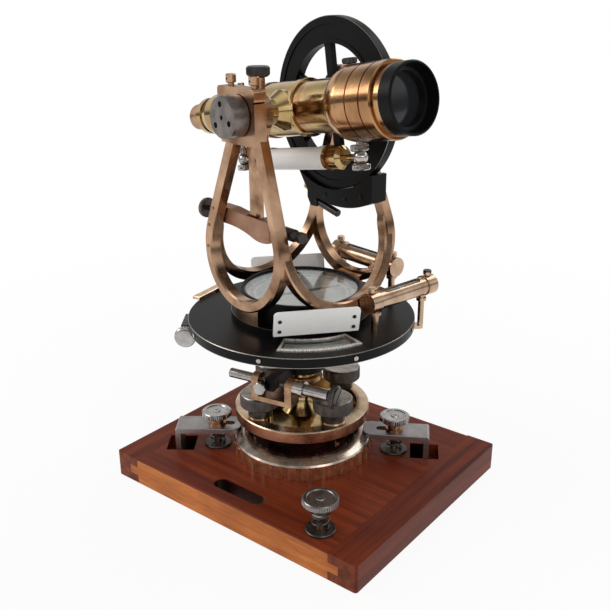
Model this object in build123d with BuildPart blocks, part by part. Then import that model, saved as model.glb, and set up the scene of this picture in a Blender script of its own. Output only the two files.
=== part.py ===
from build123d import *
import os
from math import acos, atan, atan2, cos, degrees, hypot, radians, sin

# A surveyor's transit theodolite on its wooden display board, in millimetres.
# +Z is up, the origin is on the instrument's vertical axis at the underside of the board.

# Fits
RUNNING = 0.05
SEAT = 0.1
CLEAR = 0.3

# Board
BOARD_LENGTH = 250.5
BOARD_WIDTH = 207.4
BOARD_THICKNESS = 22.6
BOARD_CENTRE = (6.5, -2.5)
BATTEN_WIDTH = 25.0
TONGUE_HEIGHT = 7.5
TONGUE_DEPTH = 9.0
BOARD_EDGE = 1.2
BOARD_CORNER = 2.5
FINGER_SLOT_CENTRE = (5.5, -87.5)
FINGER_SLOT_LENGTH = 50.0
FINGER_SLOT_WIDTH = 13.0

# Board clamps
CLAMP_TURNS = {"left": -143.5, "right": 31.0}
CLAMP_SCREW_RADII = {"left": 73.5, "right": 79.0}
CLAMP_KNOB_TOPS = {"left": 55.0, "right": 56.0}
CLAMP_NOSE = 52.5
CLAMP_HEEL = 108.5
CLAMP_HALF_WIDTH = 11.7
CLAMP_THICKNESS = 4.5
CLAMP_TRAVEL = 8.0
CLAMP_LEG = 4.5
CLAMP_SLOT_WIDTH = 6.6
CLAMP_POCKET_DEPTH = 12.0
CLAMP_POCKET_INNER = 93.0
FRONT_SCREW_PLACE = (86.3, -87.5)
FRONT_KNOB_TOP = 50.5
BOARD_SCREW_RADIUS = 3.0
BOARD_SCREW_BOTTOM = 6.0
KNOB_RADIUS = 12.3
FRONT_KNOB_RADIUS = 13.5
KNOB_HEIGHT = 5.0
FERRULE_RADIUS = 11.5
FERRULE_HEIGHT = 2.0
SPRING_WIRE = 0.9
SPRING_RADIUS = 6.0
SPRING_TURNS = 2.0

# Foot plate and levelling base
FOOT_RADIUS = 60.0
FOOT_SCALLOPS = 36
SCALLOP_RADIUS = 5.0
SCALLOP_DEPTH = 2.2
FOOT_SCALLOP_TOP = 34.0
FOOT_CONE_BASE = 58.0
FOOT_CONE_TOP = 51.5
FOOT_TOP = 38.0
DRUM_RADIUS = 49.5
DRUM_TOP = 54.4
TRIPOD_THREAD_RADIUS = 44.45
TRIPOD_THREAD_TOP = 36.0
BALL_SEAT_RADIUS = 18.0
BALL_SEAT_CENTRE = 30.0
BALL_SEAT_TOP = 42.0
SCREW_CIRCLE = 42.5
SCREW_COUNT = 4
SCREW_TURN = -15.5
POCKET_RADIUS = 7.5
POCKET_FLOOR = 44.0
SHOE_RADIUS = 6.8
SHOE_HEIGHT = 3.0
BALL_FOOT_RADIUS = 5.0
BALL_FOOT_CENTRE = 50.5
SCREW_SHANK_RADIUS = 5.0
SCREW_HEAD_RADIUS = 16.0
SCREW_HEAD_BOTTOM = 74.6
SCREW_HEAD_TOP = 86.0
SCREW_CAP_RADIUS = 10.0
DISH_RADIUS = 56.6
DISH_RIM = 10.0
DISH_BOTTOM = 55.0
DISH_FLOOR = 58.5
DISH_TOP = 65.3
BOSS_RADIUS = 10.0
BOSS_TOP = 73.4
COLUMN_FOOT_RADIUS = 17.0
COLUMN_RADIUS = 9.4
COLUMN_WAIST = 74.0
COLUMN_HEAD_BOTTOM = 92.0
COLUMN_HEAD_TOP = 97.0
COLUMN_HEAD_RADIUS = 14.0
COLUMN_TAIL_RADIUS = 9.0
COLUMN_TAIL_BOTTOM = 31.0

# Spindles and limb
INNER_SPINDLE_RADIUS = 4.0
OUTER_SPINDLE_RADIUS = 6.2
SPINDLE_BOTTOM = 36.0
SPINDLE_BOSS_RADIUS = 14.0
SPINDLE_FLANGE_RADIUS = 30.0
SPINDLE_FLANGE_THICKNESS = 4.0
LIMB_BOTTOM = 138.6
LIMB_THICKNESS = 4.2
LIMB_RADIUS = 88.5
LIMB_SCALE_INNER = 70.2
LIMB_STEP = 2.4
INNER_FLANGE_RADIUS = 24.0

# Motions below the plate
COLLAR_WALL = 6.0
COLLAR_HEIGHT = 10.0
LOWER_TURN = 10.0
LOWER_AXIS_HEIGHT = 104.0
COLLAR_UNDER_AXIS = 6.0
LOWER_AXIS_RADIUS = 49.3
LUG_HALF_WIDTH = 3.6
LUG_REACH = 54.0
TIP_GAP = 2.4
SPRING_BARREL_RADIUS = 3.9
SCREW_BARREL_RADIUS = 4.6
TANGENT_SHAFT_RADIUS = 2.0
TANGENT_TIP_RADIUS = 1.2
LOWER_SPRING_END = -38.3
LOWER_SCREW_END = 50.0
LOWER_DISC_RADIUS = 9.0
TANGENT_DISC_THICKNESS = 4.0
CLAMP_PIN_OFFSET = -5.7
CLAMP_PIN_RADIUS = 1.7
CLAMP_PIN_KNOB_RADIUS = 5.3
UPPER_TURN = -41.9
UPPER_AXIS_HEIGHT = 129.5
UPPER_COLLAR_UNDER_AXIS = 7.5
UPPER_AXIS_RADIUS = 94.0
UPPER_DISC_RADIUS = 8.6
UPPER_DISC_FACE = 16.0
UPPER_ARM_PLACE = -1.5
RIM_BAR_TURN = -71.0
RIM_BAR_PLACE = 92.2
RIM_BAR_LENGTH = 40.0
RIM_BAR_WIDTH = 7.0

# Alidade
ALIDADE_TURN = -11.1
PLATE_RADIUS = 92.0
PLATE_TOP = 146.4
PLATE_THICKNESS = 3.0
SKIRT_BOTTOM = 138.4
SKIRT_WALL = 3.0
STEP_RADIUS = 57.0
STEP_TOP = 152.0
WINDOW_INNER = 62.0
WINDOW_OUTER = 79.5
WINDOW_HALF_ANGLE = 21.5
WINDOW_TURNS = (-30.0, 150.0)
WINDOW_FRAME = 2.0
WINDOW_FRAME_HEIGHT = 2.0
WINDOW_GLASS = 1.0
BOX_RADIUS = 48.8
BOX_WALL = 3.8
BOX_TOP = 166.4
BOX_FLOOR = 3.0
DIAL_RADIUS = 46.0
GLASS_RADIUS = 47.2
GLASS_THICKNESS = 1.6
BEZEL_TOP = 169.5
DIAL_RING_INNER = 36.5
DIAL_RING_TOP = 162.5
NEEDLE_HALF_LENGTH = 35.0
NEEDLE_HEIGHT = 162.2
REFLECTOR_WIDTH = 65.0
REFLECTOR_BOTTOM = 152.5
REFLECTOR_TOP = 175.0
REFLECTOR_THICKNESS = 1.6
REFLECTOR_RADIUS = 60.0
LEG_PLACE = 30.0
LEG_WIDTH = 3.8
LEG_THICKNESS = 1.8
LEG_LENGTH = 23.6
LEG_DROP = 8.6
REFLECTOR_LEAN = 18.0

# Standards
TRUNNION_HEIGHT = 309.5
LOOP_BAR = 8.5
LOOP_DEPTH = 9.0
LOOP_RADIUS = 47.0
LOOP_CENTRE = 210.0
LOOP_TOP = 289.0
LOOP_TOP_HALF = 21.0
LOOP_TOP_FACE = 54.5
LOOP_LEAN = 0.06
ARCH_RADIUS = 56.0
ARCH_CENTRE = 218.0
ARCH_FACE = 47.0
ARCH_FACE_DROP = 6.0
ARCH_LEAN = 0.25
ARCH_BLEND = 14.0
ARCH_DEPTH = 8.2
EDGE_BREAK = 1.2
PAD_HALF_WIDTH = 14.0
PAD_INNER = 49.8
PAD_TOP = 168.0
HEAD_INNER = 47.0
HEAD_OUTER = 57.5
HEAD_BACK = -21.0
HEAD_FRONT = 19.5
HEAD_SPLIT = 319.0
HEAD_TOP = 329.0
CAP_OVERHANG = 3.0
CAP_SCREW_PLACES = (-14.0, 13.0)

# Telescope, along its own X axis
TELESCOPE_TILT = 8.8
JOURNAL_RADIUS = 6.5
AXLE_RADIUS = 9.5
AXLE_SHOULDER = 46.8
TUBE_RADIUS = 19.3
TUBE_BORE = 16.5
TUBE_REAR = -120.0
REAR_RING_RADIUS = 15.0
EYE_TUBE_RADIUS = 9.5
EYE_END = -137.0
EYE_CAP_RADIUS = 10.8
HUB_RADIUS = 21.3
HUB_REAR = -33.0
HUB_FRONT = 14.0
BELL_START = 47.5
BELL_RADIUS = 26.4
BELL_END = 66.0
CELL_END = 100.0
SLIDE_RADIUS = 20.5
SLIDE_BORE = 18.2
SLIDE_REAR = 52.0
HOOD_RADIUS = 24.0
HOOD_END = 116.0
PINION_PLACE = 58.0
PINION_RADIUS = 3.0
LEVEL_DROP = 37.0
LEVEL_RADIUS = 8.7
LEVEL_REAR = -47.0
LEVEL_FRONT = 28.0
LEVEL_END_LENGTH = 17.0
LEVEL_POST_FRONT = 60.5
LEVEL_POST_REAR = -78.0
CIRCLE_RADIUS = 64.9
CIRCLE_RIM_INNER = 45.0
CIRCLE_FACE = 31.8
CIRCLE_THICKNESS = 8.2
CIRCLE_SPOKES = 6
DISC_RADIUS = 15.0
DISC_END = 71.6
ARM_INNER = 37.0
ARM_OUTER = 44.6
ARM_FOOT = 230.0
ARM_HALF_WIDTH = 3.6
TANGENT_AXIS_HEIGHT = 228.0
TANGENT_AXIS_SIDE = -42.0
TANGENT_ARM_PLACE = -2.5
TANGENT_DISC_PLACE = -67.0
TANGENT_BARREL_END = 52.0

# Levels on the plate
FRONT_LEVEL_X = 67.0
FRONT_LEVEL_HEIGHT = 170.0
FRONT_LEVEL_RANGE = (8.5, 80.5)
BACK_LEVEL_Y = 73.5
BACK_LEVEL_HEIGHT = 177.0
BACK_LEVEL_RANGE = (-37.0, 36.0)
PLATE_LEVEL_RADIUS = 7.3
PLATE_LEVEL_BLOCK = 10.0

WORLD = Location((0, 0, 0))
LOWER = Location((0, 0, 0), (0, 0, LOWER_TURN))
ALIDADE = Location((0, 0, 0), (0, 0, ALIDADE_TURN))
UPPER = ALIDADE * Location((0, 0, 0), (0, 0, UPPER_TURN))
TELESCOPE = ALIDADE * Location((0, 0, TRUNNION_HEIGHT), (0, -TELESCOPE_TILT, 0))


def hand_over(built, name, place=WORLD):
    """Moves a finished piece from its own frame to its place, labels it and writes it."""
    piece = place * built.part
    piece.label = name
    export_step(piece, f"parts/{name}.step")


def polar(radius, angle):
    return (radius * cos(radians(angle)), radius * sin(radians(angle)))


def turned(outline, axis=Axis.Z):
    """A piece from the lathe: the outline is its half section on the XZ plane."""
    with BuildPart() as piece:
        with BuildSketch(Plane.XZ):
            with BuildLine():
                Polyline(*outline, close=True)
            make_face()
        revolve(axis=axis)
    return piece


def ring_part(inner, outer, half_angle):
    """A sector of a ring about the origin, centred on +X, as a sketch."""
    with BuildSketch() as face:
        with BuildLine():
            Line(polar(inner, -half_angle), polar(outer, -half_angle))
            ThreePointArc(polar(outer, -half_angle), polar(outer, 0), polar(outer, half_angle))
            Line(polar(outer, half_angle), polar(inner, half_angle))
            ThreePointArc(polar(inner, half_angle), polar(inner, 0), polar(inner, -half_angle))
        make_face()
    return face.sketch


def copies(piece, places):
    """Loose copies of one piece, kept together as a group of solids."""
    with BuildPart() as group:
        with Locations(*places):
            add(piece.part)
    return group


# Board

PANEL_LENGTH = BOARD_LENGTH - 2 * BATTEN_WIDTH
BATTEN_PLACES = [
    (BOARD_CENTRE[0] + side * (PANEL_LENGTH + BATTEN_WIDTH) / 2, BOARD_CENTRE[1]) for side in (-1, 1)
]
CLAMP_SCREW_PLACES = {side: polar(CLAMP_SCREW_RADII[side], CLAMP_TURNS[side]) for side in CLAMP_TURNS}
BOARD_SCREW_PLACES = [*CLAMP_SCREW_PLACES.values(), FRONT_SCREW_PLACE]
FERRULE_BARREL_RADIUS = 7.0


def clamp_pockets():
    """Blind pockets in the board that the clamps' legs slide in."""
    outer = CLAMP_HEEL + CLAMP_TRAVEL + 0.5
    with BuildPart() as pockets:
        with BuildSketch(Plane.XY.offset(BOARD_THICKNESS)):
            for turn in CLAMP_TURNS.values():
                middle = polar((CLAMP_POCKET_INNER + outer) / 2, turn)
                with Locations(Location((*middle, 0), (0, 0, turn))):
                    Rectangle(outer - CLAMP_POCKET_INNER, 2 * CLAMP_HALF_WIDTH + 1)
        extrude(amount=-CLAMP_POCKET_DEPTH)
    return pockets.part


def board_panel():
    with BuildPart() as panel:
        with BuildSketch():
            with Locations(BOARD_CENTRE):
                Rectangle(PANEL_LENGTH, BOARD_WIDTH)
        extrude(amount=BOARD_THICKNESS)
        chamfer(panel.faces().sort_by(Axis.Z)[-1].edges().filter_by(Axis.X), BOARD_EDGE)
        with BuildSketch(Plane.XY.offset((BOARD_THICKNESS - TONGUE_HEIGHT) / 2)):
            with Locations(BOARD_CENTRE):
                Rectangle(PANEL_LENGTH + 2 * TONGUE_DEPTH, BOARD_WIDTH)
        extrude(amount=TONGUE_HEIGHT)
        with BuildSketch(Plane.XY.offset(BOARD_THICKNESS)):
            with Locations(FINGER_SLOT_CENTRE):
                SlotOverall(FINGER_SLOT_LENGTH, FINGER_SLOT_WIDTH)
        extrude(amount=-BOARD_THICKNESS, mode=Mode.SUBTRACT)
        with BuildSketch(Plane.XY.offset(BOARD_THICKNESS)):
            with Locations(*BOARD_SCREW_PLACES):
                Circle(FERRULE_BARREL_RADIUS)
        extrude(amount=-BOARD_THICKNESS, mode=Mode.SUBTRACT)
        add(clamp_pockets(), mode=Mode.SUBTRACT)
    return panel


def board_battens():
    with BuildPart() as battens:
        with BuildSketch():
            with Locations(*BATTEN_PLACES):
                Rectangle(BATTEN_WIDTH, BOARD_WIDTH)
        extrude(amount=BOARD_THICKNESS)
        corners = battens.edges().filter_by(Axis.Z)
        outside = corners.sort_by(Axis.X)[:2] + corners.sort_by(Axis.X)[-2:]
        fillet(outside, BOARD_CORNER)
        with BuildSketch(Plane.XY.offset((BOARD_THICKNESS - TONGUE_HEIGHT) / 2)):
            with Locations(BOARD_CENTRE):
                Rectangle(PANEL_LENGTH + 2 * TONGUE_DEPTH, BOARD_WIDTH)
        extrude(amount=TONGUE_HEIGHT, mode=Mode.SUBTRACT)
        add(clamp_pockets(), mode=Mode.SUBTRACT)
    return battens


hand_over(board_panel(), "board_panel")
hand_over(board_battens(), "board_battens")

# Board clamps: slotted plates, their screws, ferrules and springs

CLAMP_PLATE_BOTTOM = FOOT_TOP + SEAT
CLAMP_PLATE_TOP = CLAMP_PLATE_BOTTOM + CLAMP_THICKNESS
FERRULE_TOP = BOARD_THICKNESS + FERRULE_HEIGHT


def clamp_plate(screw_radius):
    """A slotted plate with a rounded nose and a leg, along +X."""
    slot_inner = screw_radius - CLAMP_TRAVEL - CLAMP_SLOT_WIDTH / 2 - 4
    slot_outer = screw_radius + CLAMP_SLOT_WIDTH / 2 + 4
    with BuildPart() as plate:
        with BuildSketch(Plane.XY.offset(CLAMP_PLATE_BOTTOM)) as outline:
            with Locations(((CLAMP_NOSE + CLAMP_HEEL) / 2, 0)):
                Rectangle(CLAMP_HEEL - CLAMP_NOSE, 2 * CLAMP_HALF_WIDTH)
            fillet(outline.vertices().group_by(Axis.X)[0], 7)
            with Locations(((slot_inner + slot_outer) / 2, 0)):
                SlotOverall(slot_outer - slot_inner, CLAMP_SLOT_WIDTH, mode=Mode.SUBTRACT)
        extrude(amount=CLAMP_THICKNESS)
        leg_bottom = BOARD_THICKNESS - CLAMP_POCKET_DEPTH + CLEAR
        with BuildSketch(Plane.XY.offset(CLAMP_PLATE_BOTTOM)):
            with Locations((CLAMP_HEEL - CLAMP_LEG / 2, 0)):
                Rectangle(CLAMP_LEG, 2 * CLAMP_HALF_WIDTH)
        extrude(amount=leg_bottom - CLAMP_PLATE_BOTTOM)
        heel = plate.edges().filter_by(Axis.Y).group_by(Axis.Z)[-1].sort_by(Axis.X)[-1]
        fillet(heel, 2)
        top = plate.faces().sort_by(Axis.Z)[-1]
        chamfer(top.outer_wire().edges(), 0.5)
    return plate


def board_screw(knob_top, knob_radius, collar_bottom):
    """A dished knurled knob on a cone, a collar and a plain shank."""
    rim = knob_top - KNOB_HEIGHT
    cone = rim - 3.5
    return turned([
        (0, BOARD_SCREW_BOTTOM), (BOARD_SCREW_RADIUS, BOARD_SCREW_BOTTOM), (BOARD_SCREW_RADIUS, collar_bottom),
        (7.6, collar_bottom), (7.6, collar_bottom + 1.6), (5.6, collar_bottom + 1.6), (5.6, cone),
        (knob_radius - 0.8, rim), (knob_radius, rim + 0.8), (knob_radius, knob_top - 0.8),
        (knob_radius - 0.8, knob_top), (knob_radius - 3, knob_top), (knob_radius - 4.4, knob_top - 1.4),
        (4, knob_top - 1.4), (3.2, knob_top), (1.4, knob_top), (1.4, knob_top - 1.6), (0, knob_top - 1.6),
    ])


def screw_ferrules():
    bore = BOARD_SCREW_RADIUS + RUNNING
    ferrule = turned([
        (bore, 0), (FERRULE_BARREL_RADIUS, 0), (FERRULE_BARREL_RADIUS, BOARD_THICKNESS),
        (FERRULE_RADIUS, BOARD_THICKNESS), (FERRULE_RADIUS, FERRULE_TOP - 0.6),
        (FERRULE_RADIUS - 0.6, FERRULE_TOP), (bore, FERRULE_TOP),
    ])
    return copies(ferrule, [(*place, 0) for place in BOARD_SCREW_PLACES])


def coil_spring(bottom, top):
    """An open coil between two seats."""
    height = top - bottom - 2 * SPRING_WIRE
    with BuildPart() as spring:
        with BuildLine():
            coil = Helix(height / SPRING_TURNS, height, SPRING_RADIUS, center=(0, 0, bottom + SPRING_WIRE))
        with BuildSketch(Plane(origin=coil @ 0, z_dir=coil % 0)):
            Circle(SPRING_WIRE)
        sweep(is_frenet=True)
    return spring


hand_over(screw_ferrules(), "screw_ferrules")
for side, turn in CLAMP_TURNS.items():
    radial = Location((0, 0, 0), (0, 0, turn))
    hand_over(clamp_plate(CLAMP_SCREW_RADII[side]), f"clamp_plate_{side}", radial)
    screw = board_screw(CLAMP_KNOB_TOPS[side], KNOB_RADIUS, CLAMP_PLATE_TOP + SEAT)
    hand_over(screw, f"clamp_screw_{side}", Location((*CLAMP_SCREW_PLACES[side], 0)))
FRONT_COLLAR = 38.0
front_screw = board_screw(FRONT_KNOB_TOP, FRONT_KNOB_RADIUS, FRONT_COLLAR)
hand_over(front_screw, "clamp_screw_front", Location((*FRONT_SCREW_PLACE, 0)))
plate_spring = coil_spring(FERRULE_TOP, CLAMP_PLATE_BOTTOM - SEAT)
front_spring = coil_spring(FERRULE_TOP, FRONT_COLLAR - SEAT)
with BuildPart() as clamp_springs:
    with Locations(*[(*place, 0) for place in CLAMP_SCREW_PLACES.values()]):
        add(plate_spring.part)
    with Locations((*FRONT_SCREW_PLACE, 0)):
        add(front_spring.part)
hand_over(clamp_springs, "clamp_springs")

# Levelling base

SCREW_PLACES = [polar(SCREW_CIRCLE, SCREW_TURN + 360 / SCREW_COUNT * k) for k in range(SCREW_COUNT)]


def foot_plate():
    hole = COLUMN_TAIL_RADIUS + 4
    with BuildPart() as foot:
        add(turned([
            (hole, TRIPOD_THREAD_TOP), (TRIPOD_THREAD_RADIUS, TRIPOD_THREAD_TOP),
            (TRIPOD_THREAD_RADIUS, BOARD_THICKNESS), (FOOT_RADIUS, BOARD_THICKNESS),
            (FOOT_RADIUS, FOOT_SCALLOP_TOP), (FOOT_CONE_BASE, FOOT_SCALLOP_TOP),
            (FOOT_CONE_BASE - 1, FOOT_SCALLOP_TOP + 1.4), (FOOT_CONE_TOP + 1, FOOT_TOP - 0.4),
            (FOOT_CONE_TOP, FOOT_TOP), (DRUM_RADIUS, FOOT_TOP), (DRUM_RADIUS, DRUM_TOP), (hole, DRUM_TOP),
        ]).part)
        with BuildSketch(Plane.XY.offset(BOARD_THICKNESS)):
            with PolarLocations(FOOT_RADIUS - SCALLOP_DEPTH + SCALLOP_RADIUS, FOOT_SCALLOPS):
                Circle(SCALLOP_RADIUS)
        extrude(amount=FOOT_SCALLOP_TOP - BOARD_THICKNESS, mode=Mode.SUBTRACT)
        with BuildSketch(Plane.XY.offset(POCKET_FLOOR)):
            with Locations(*SCREW_PLACES):
                Circle(POCKET_RADIUS)
        extrude(amount=DRUM_TOP - POCKET_FLOOR, mode=Mode.SUBTRACT)
        with Locations((0, 0, BALL_SEAT_CENTRE)):
            Sphere(BALL_SEAT_RADIUS + RUNNING, mode=Mode.SUBTRACT)
    return foot


def levelling_shoes():
    with BuildPart() as shoe:
        with BuildSketch(Plane.XY.offset(POCKET_FLOOR)):
            Circle(SHOE_RADIUS)
        extrude(amount=SHOE_HEIGHT)
        with Locations((0, 0, BALL_FOOT_CENTRE)):
            Sphere(BALL_FOOT_RADIUS + RUNNING, mode=Mode.SUBTRACT)
    return copies(shoe, [(*place, 0) for place in SCREW_PLACES])


def levelling_head():
    """The dished upper parallel plate with its bosses, and the flared column with the spindle socket."""
    socket = OUTER_SPINDLE_RADIUS + RUNNING
    socket_bottom = SPINDLE_BOTTOM - 3
    with BuildPart() as head:
        with BuildSketch(Plane.XZ):
            with BuildLine():
                start = Polyline(
                    (socket, COLUMN_HEAD_TOP), (socket, socket_bottom), (0, socket_bottom),
                    (0, COLUMN_TAIL_BOTTOM), (COLUMN_TAIL_RADIUS, COLUMN_TAIL_BOTTOM),
                    (COLUMN_TAIL_RADIUS, DISH_BOTTOM), (DISH_RADIUS - 1, DISH_BOTTOM),
                    (DISH_RADIUS, DISH_BOTTOM + 1), (DISH_RADIUS, DISH_TOP - 0.8),
                    (DISH_RADIUS - 0.8, DISH_TOP), (DISH_RADIUS - DISH_RIM, DISH_TOP),
                    (DISH_RADIUS - DISH_RIM, DISH_FLOOR), (COLUMN_FOOT_RADIUS, DISH_FLOOR),
                )
                waist = (COLUMN_RADIUS, COLUMN_WAIST)
                middle = (COLUMN_RADIUS + 2, (DISH_FLOOR + COLUMN_WAIST) / 2)
                ThreePointArc(start @ 1, middle, waist)
                Polyline(
                    waist, (COLUMN_RADIUS, COLUMN_HEAD_BOTTOM), (COLUMN_HEAD_RADIUS - 1, COLUMN_HEAD_BOTTOM),
                    (COLUMN_HEAD_RADIUS, COLUMN_HEAD_BOTTOM + 1), (COLUMN_HEAD_RADIUS, COLUMN_HEAD_TOP),
                    start @ 0,
                )
            make_face()
        revolve(axis=Axis.Z)
        with BuildSketch(Plane.XY.offset(DISH_FLOOR)):
            with Locations(*SCREW_PLACES):
                Circle(BOSS_RADIUS)
        extrude(amount=BOSS_TOP - DISH_FLOOR)
        with BuildSketch(Plane.XY.offset(BOSS_TOP)):
            with Locations(*SCREW_PLACES):
                Circle(SCREW_SHANK_RADIUS)
        extrude(amount=DISH_BOTTOM - BOSS_TOP, mode=Mode.SUBTRACT)
    return head


def levelling_ball_nut():
    with BuildPart() as nut:
        with Locations((0, 0, BALL_SEAT_CENTRE)):
            Sphere(BALL_SEAT_RADIUS)
        split(bisect_by=Plane.XY.offset(BALL_SEAT_CENTRE), keep=Keep.TOP)
        split(bisect_by=Plane.XY.offset(BALL_SEAT_TOP), keep=Keep.BOTTOM)
        with BuildSketch(Plane.XY.offset(COLUMN_TAIL_BOTTOM)):
            Circle(COLUMN_TAIL_RADIUS)
        extrude(amount=BALL_SEAT_RADIUS, mode=Mode.SUBTRACT)
    return nut


def levelling_screw():
    shank = SCREW_SHANK_RADIUS - RUNNING
    neck_bottom = BALL_FOOT_CENTRE + BALL_FOOT_RADIUS - 1.5
    with BuildPart() as screw:
        add(turned([
            (0, neck_bottom), (3, neck_bottom), (3, DISH_BOTTOM), (shank, DISH_BOTTOM + 1),
            (shank, BOSS_TOP + CLEAR), (SCREW_CAP_RADIUS, BOSS_TOP + CLEAR),
            (SCREW_CAP_RADIUS, SCREW_HEAD_BOTTOM), (SCREW_HEAD_RADIUS - 1, SCREW_HEAD_BOTTOM),
            (SCREW_HEAD_RADIUS, SCREW_HEAD_BOTTOM + 1), (SCREW_HEAD_RADIUS, SCREW_HEAD_TOP - 1),
            (SCREW_HEAD_RADIUS - 1, SCREW_HEAD_TOP), (0, SCREW_HEAD_TOP),
        ]).part)
        with Locations((0, 0, BALL_FOOT_CENTRE)):
            Sphere(BALL_FOOT_RADIUS)
    return screw


hand_over(foot_plate(), "foot_plate")
hand_over(levelling_shoes(), "levelling_shoes")
hand_over(levelling_head(), "levelling_head")
hand_over(levelling_ball_nut(), "levelling_ball_nut")
screw = levelling_screw()
for number, place in enumerate(SCREW_PLACES, start=1):
    hand_over(screw, f"levelling_screw_{number}", Location((*place, 0)))

# Spindles and limb

LIMB_TOP = LIMB_BOTTOM + LIMB_THICKNESS
FLANGE_BOTTOM = LIMB_BOTTOM - SPINDLE_FLANGE_THICKNESS
PLATE_UNDERSIDE = PLATE_TOP - PLATE_THICKNESS

bore = INNER_SPINDLE_RADIUS + RUNNING
boss_bottom = COLUMN_HEAD_TOP + CLEAR
outer_spindle = turned([
    (bore, SPINDLE_BOTTOM), (OUTER_SPINDLE_RADIUS, SPINDLE_BOTTOM), (OUTER_SPINDLE_RADIUS, boss_bottom),
    (SPINDLE_BOSS_RADIUS, boss_bottom), (SPINDLE_BOSS_RADIUS, FLANGE_BOTTOM - 1.5),
    (SPINDLE_FLANGE_RADIUS, FLANGE_BOTTOM), (SPINDLE_FLANGE_RADIUS, LIMB_BOTTOM), (bore, LIMB_BOTTOM),
])
hand_over(outer_spindle, "outer_spindle")

horizontal_limb = turned([
    (INNER_FLANGE_RADIUS + 0.5, LIMB_BOTTOM), (LIMB_RADIUS, LIMB_BOTTOM), (LIMB_RADIUS, LIMB_TOP),
    (LIMB_SCALE_INNER, LIMB_TOP), (LIMB_SCALE_INNER, LIMB_TOP - LIMB_STEP),
    (INNER_FLANGE_RADIUS + 0.5, LIMB_TOP - LIMB_STEP),
])
hand_over(horizontal_limb, "horizontal_limb")

inner_spindle = turned([
    (0, SPINDLE_BOTTOM + 1), (INNER_SPINDLE_RADIUS, SPINDLE_BOTTOM + 1),
    (INNER_SPINDLE_RADIUS, LIMB_BOTTOM + CLEAR), (INNER_FLANGE_RADIUS, LIMB_BOTTOM + CLEAR),
    (INNER_FLANGE_RADIUS, PLATE_UNDERSIDE), (0, PLATE_UNDERSIDE),
])
hand_over(inner_spindle, "inner_spindle", ALIDADE)

# Lower clamp and tangent screw, drawn with the arm along -Y

COLLAR_BORE = SPINDLE_BOSS_RADIUS + RUNNING
COLLAR_RADIUS = SPINDLE_BOSS_RADIUS + COLLAR_WALL


def clamp_collar(bottom, arm_place, arm_reach, pin_place, pin_height):
    """A split ring on the spindle with an arm, bored for its clamp screw."""
    with BuildPart() as collar:
        with BuildSketch(Plane.XY.offset(bottom)):
            Circle(COLLAR_RADIUS)
            with Locations((arm_place, -(COLLAR_RADIUS - 3 + arm_reach) / 2)):
                Rectangle(2 * LUG_HALF_WIDTH, arm_reach - COLLAR_RADIUS + 3)
            Circle(COLLAR_BORE, mode=Mode.SUBTRACT)
            with Locations((0, COLLAR_RADIUS - COLLAR_WALL / 2)):
                Rectangle(1.2, COLLAR_WALL + 4, mode=Mode.SUBTRACT)
        extrude(amount=COLLAR_HEIGHT)
        with BuildSketch(Plane.XZ.offset(SPINDLE_BOSS_RADIUS - 3)):
            with Locations((pin_place, pin_height)):
                Circle(CLAMP_PIN_RADIUS + RUNNING)
        extrude(amount=COLLAR_WALL + 6, mode=Mode.SUBTRACT)
    return collar


def clamp_pin(place, height, reach):
    """A clamp screw with a round slotted knob, pointing along -Y."""
    with BuildPart() as pin:
        with BuildSketch(Plane.XZ.offset(SPINDLE_BOSS_RADIUS + 1)):
            with Locations((place, height)):
                Circle(CLAMP_PIN_RADIUS)
        extrude(amount=reach - SPINDLE_BOSS_RADIUS - 1)
        with BuildSketch(Plane.XZ.offset(reach)):
            with Locations((place, height)):
                Circle(CLAMP_PIN_KNOB_RADIUS)
        extrude(amount=4)
        chamfer(pin.edges().filter_by(GeomType.CIRCLE).group_by(Axis.Y)[0], 0.6)
    return pin


LOWER_COLLAR_BOTTOM = LOWER_AXIS_HEIGHT - COLLAR_UNDER_AXIS
LOWER_PIN_HEIGHT = LOWER_AXIS_HEIGHT - 3.1
LOWER_UPRIGHT_FACE = 56.0
lower_collar = clamp_collar(LOWER_COLLAR_BOTTOM, 0, LUG_REACH, CLAMP_PIN_OFFSET, LOWER_PIN_HEIGHT)
hand_over(lower_collar, "lower_clamp_collar", LOWER)
hand_over(clamp_pin(CLAMP_PIN_OFFSET, LOWER_PIN_HEIGHT, LOWER_UPRIGHT_FACE), "lower_clamp_screw", LOWER)


def lower_tangent_bracket():
    """A fork under the column head that holds the spring barrel and the screw barrel."""
    top = COLUMN_HEAD_BOTTOM
    upright_top = LOWER_AXIS_HEIGHT + 6
    with BuildPart() as bracket:
        with BuildSketch(Plane.XY.offset(top)):
            Circle(COLUMN_HEAD_RADIUS + 3)
            with Locations((0, -28)):
                Rectangle(11, 36)
            with Locations((2.5, -LOWER_AXIS_RADIUS)):
                Rectangle(36, 12)
            Circle(COLUMN_RADIUS + SEAT, mode=Mode.SUBTRACT)
        extrude(amount=-4)
        with BuildSketch(Plane.XY.offset(top)) as feet:
            with Locations((-12.5, -LOWER_AXIS_RADIUS), (17.5, -LOWER_AXIS_RADIUS)):
                Rectangle(6, 12)
        extrude(amount=upright_top - top)
        fillet(bracket.edges().filter_by(Axis.X).group_by(Axis.Z)[-1], 5)
        with BuildSketch(Plane.YZ.offset(-20)):
            with Locations((-LOWER_AXIS_RADIUS, LOWER_AXIS_HEIGHT)):
                Circle(SPRING_BARREL_RADIUS)
        extrude(amount=18, mode=Mode.SUBTRACT)
        with BuildSketch(Plane.YZ.offset(10)):
            with Locations((-LOWER_AXIS_RADIUS, LOWER_AXIS_HEIGHT)):
                Circle(SCREW_BARREL_RADIUS)
        extrude(amount=15, mode=Mode.SUBTRACT)
    return bracket


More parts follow.
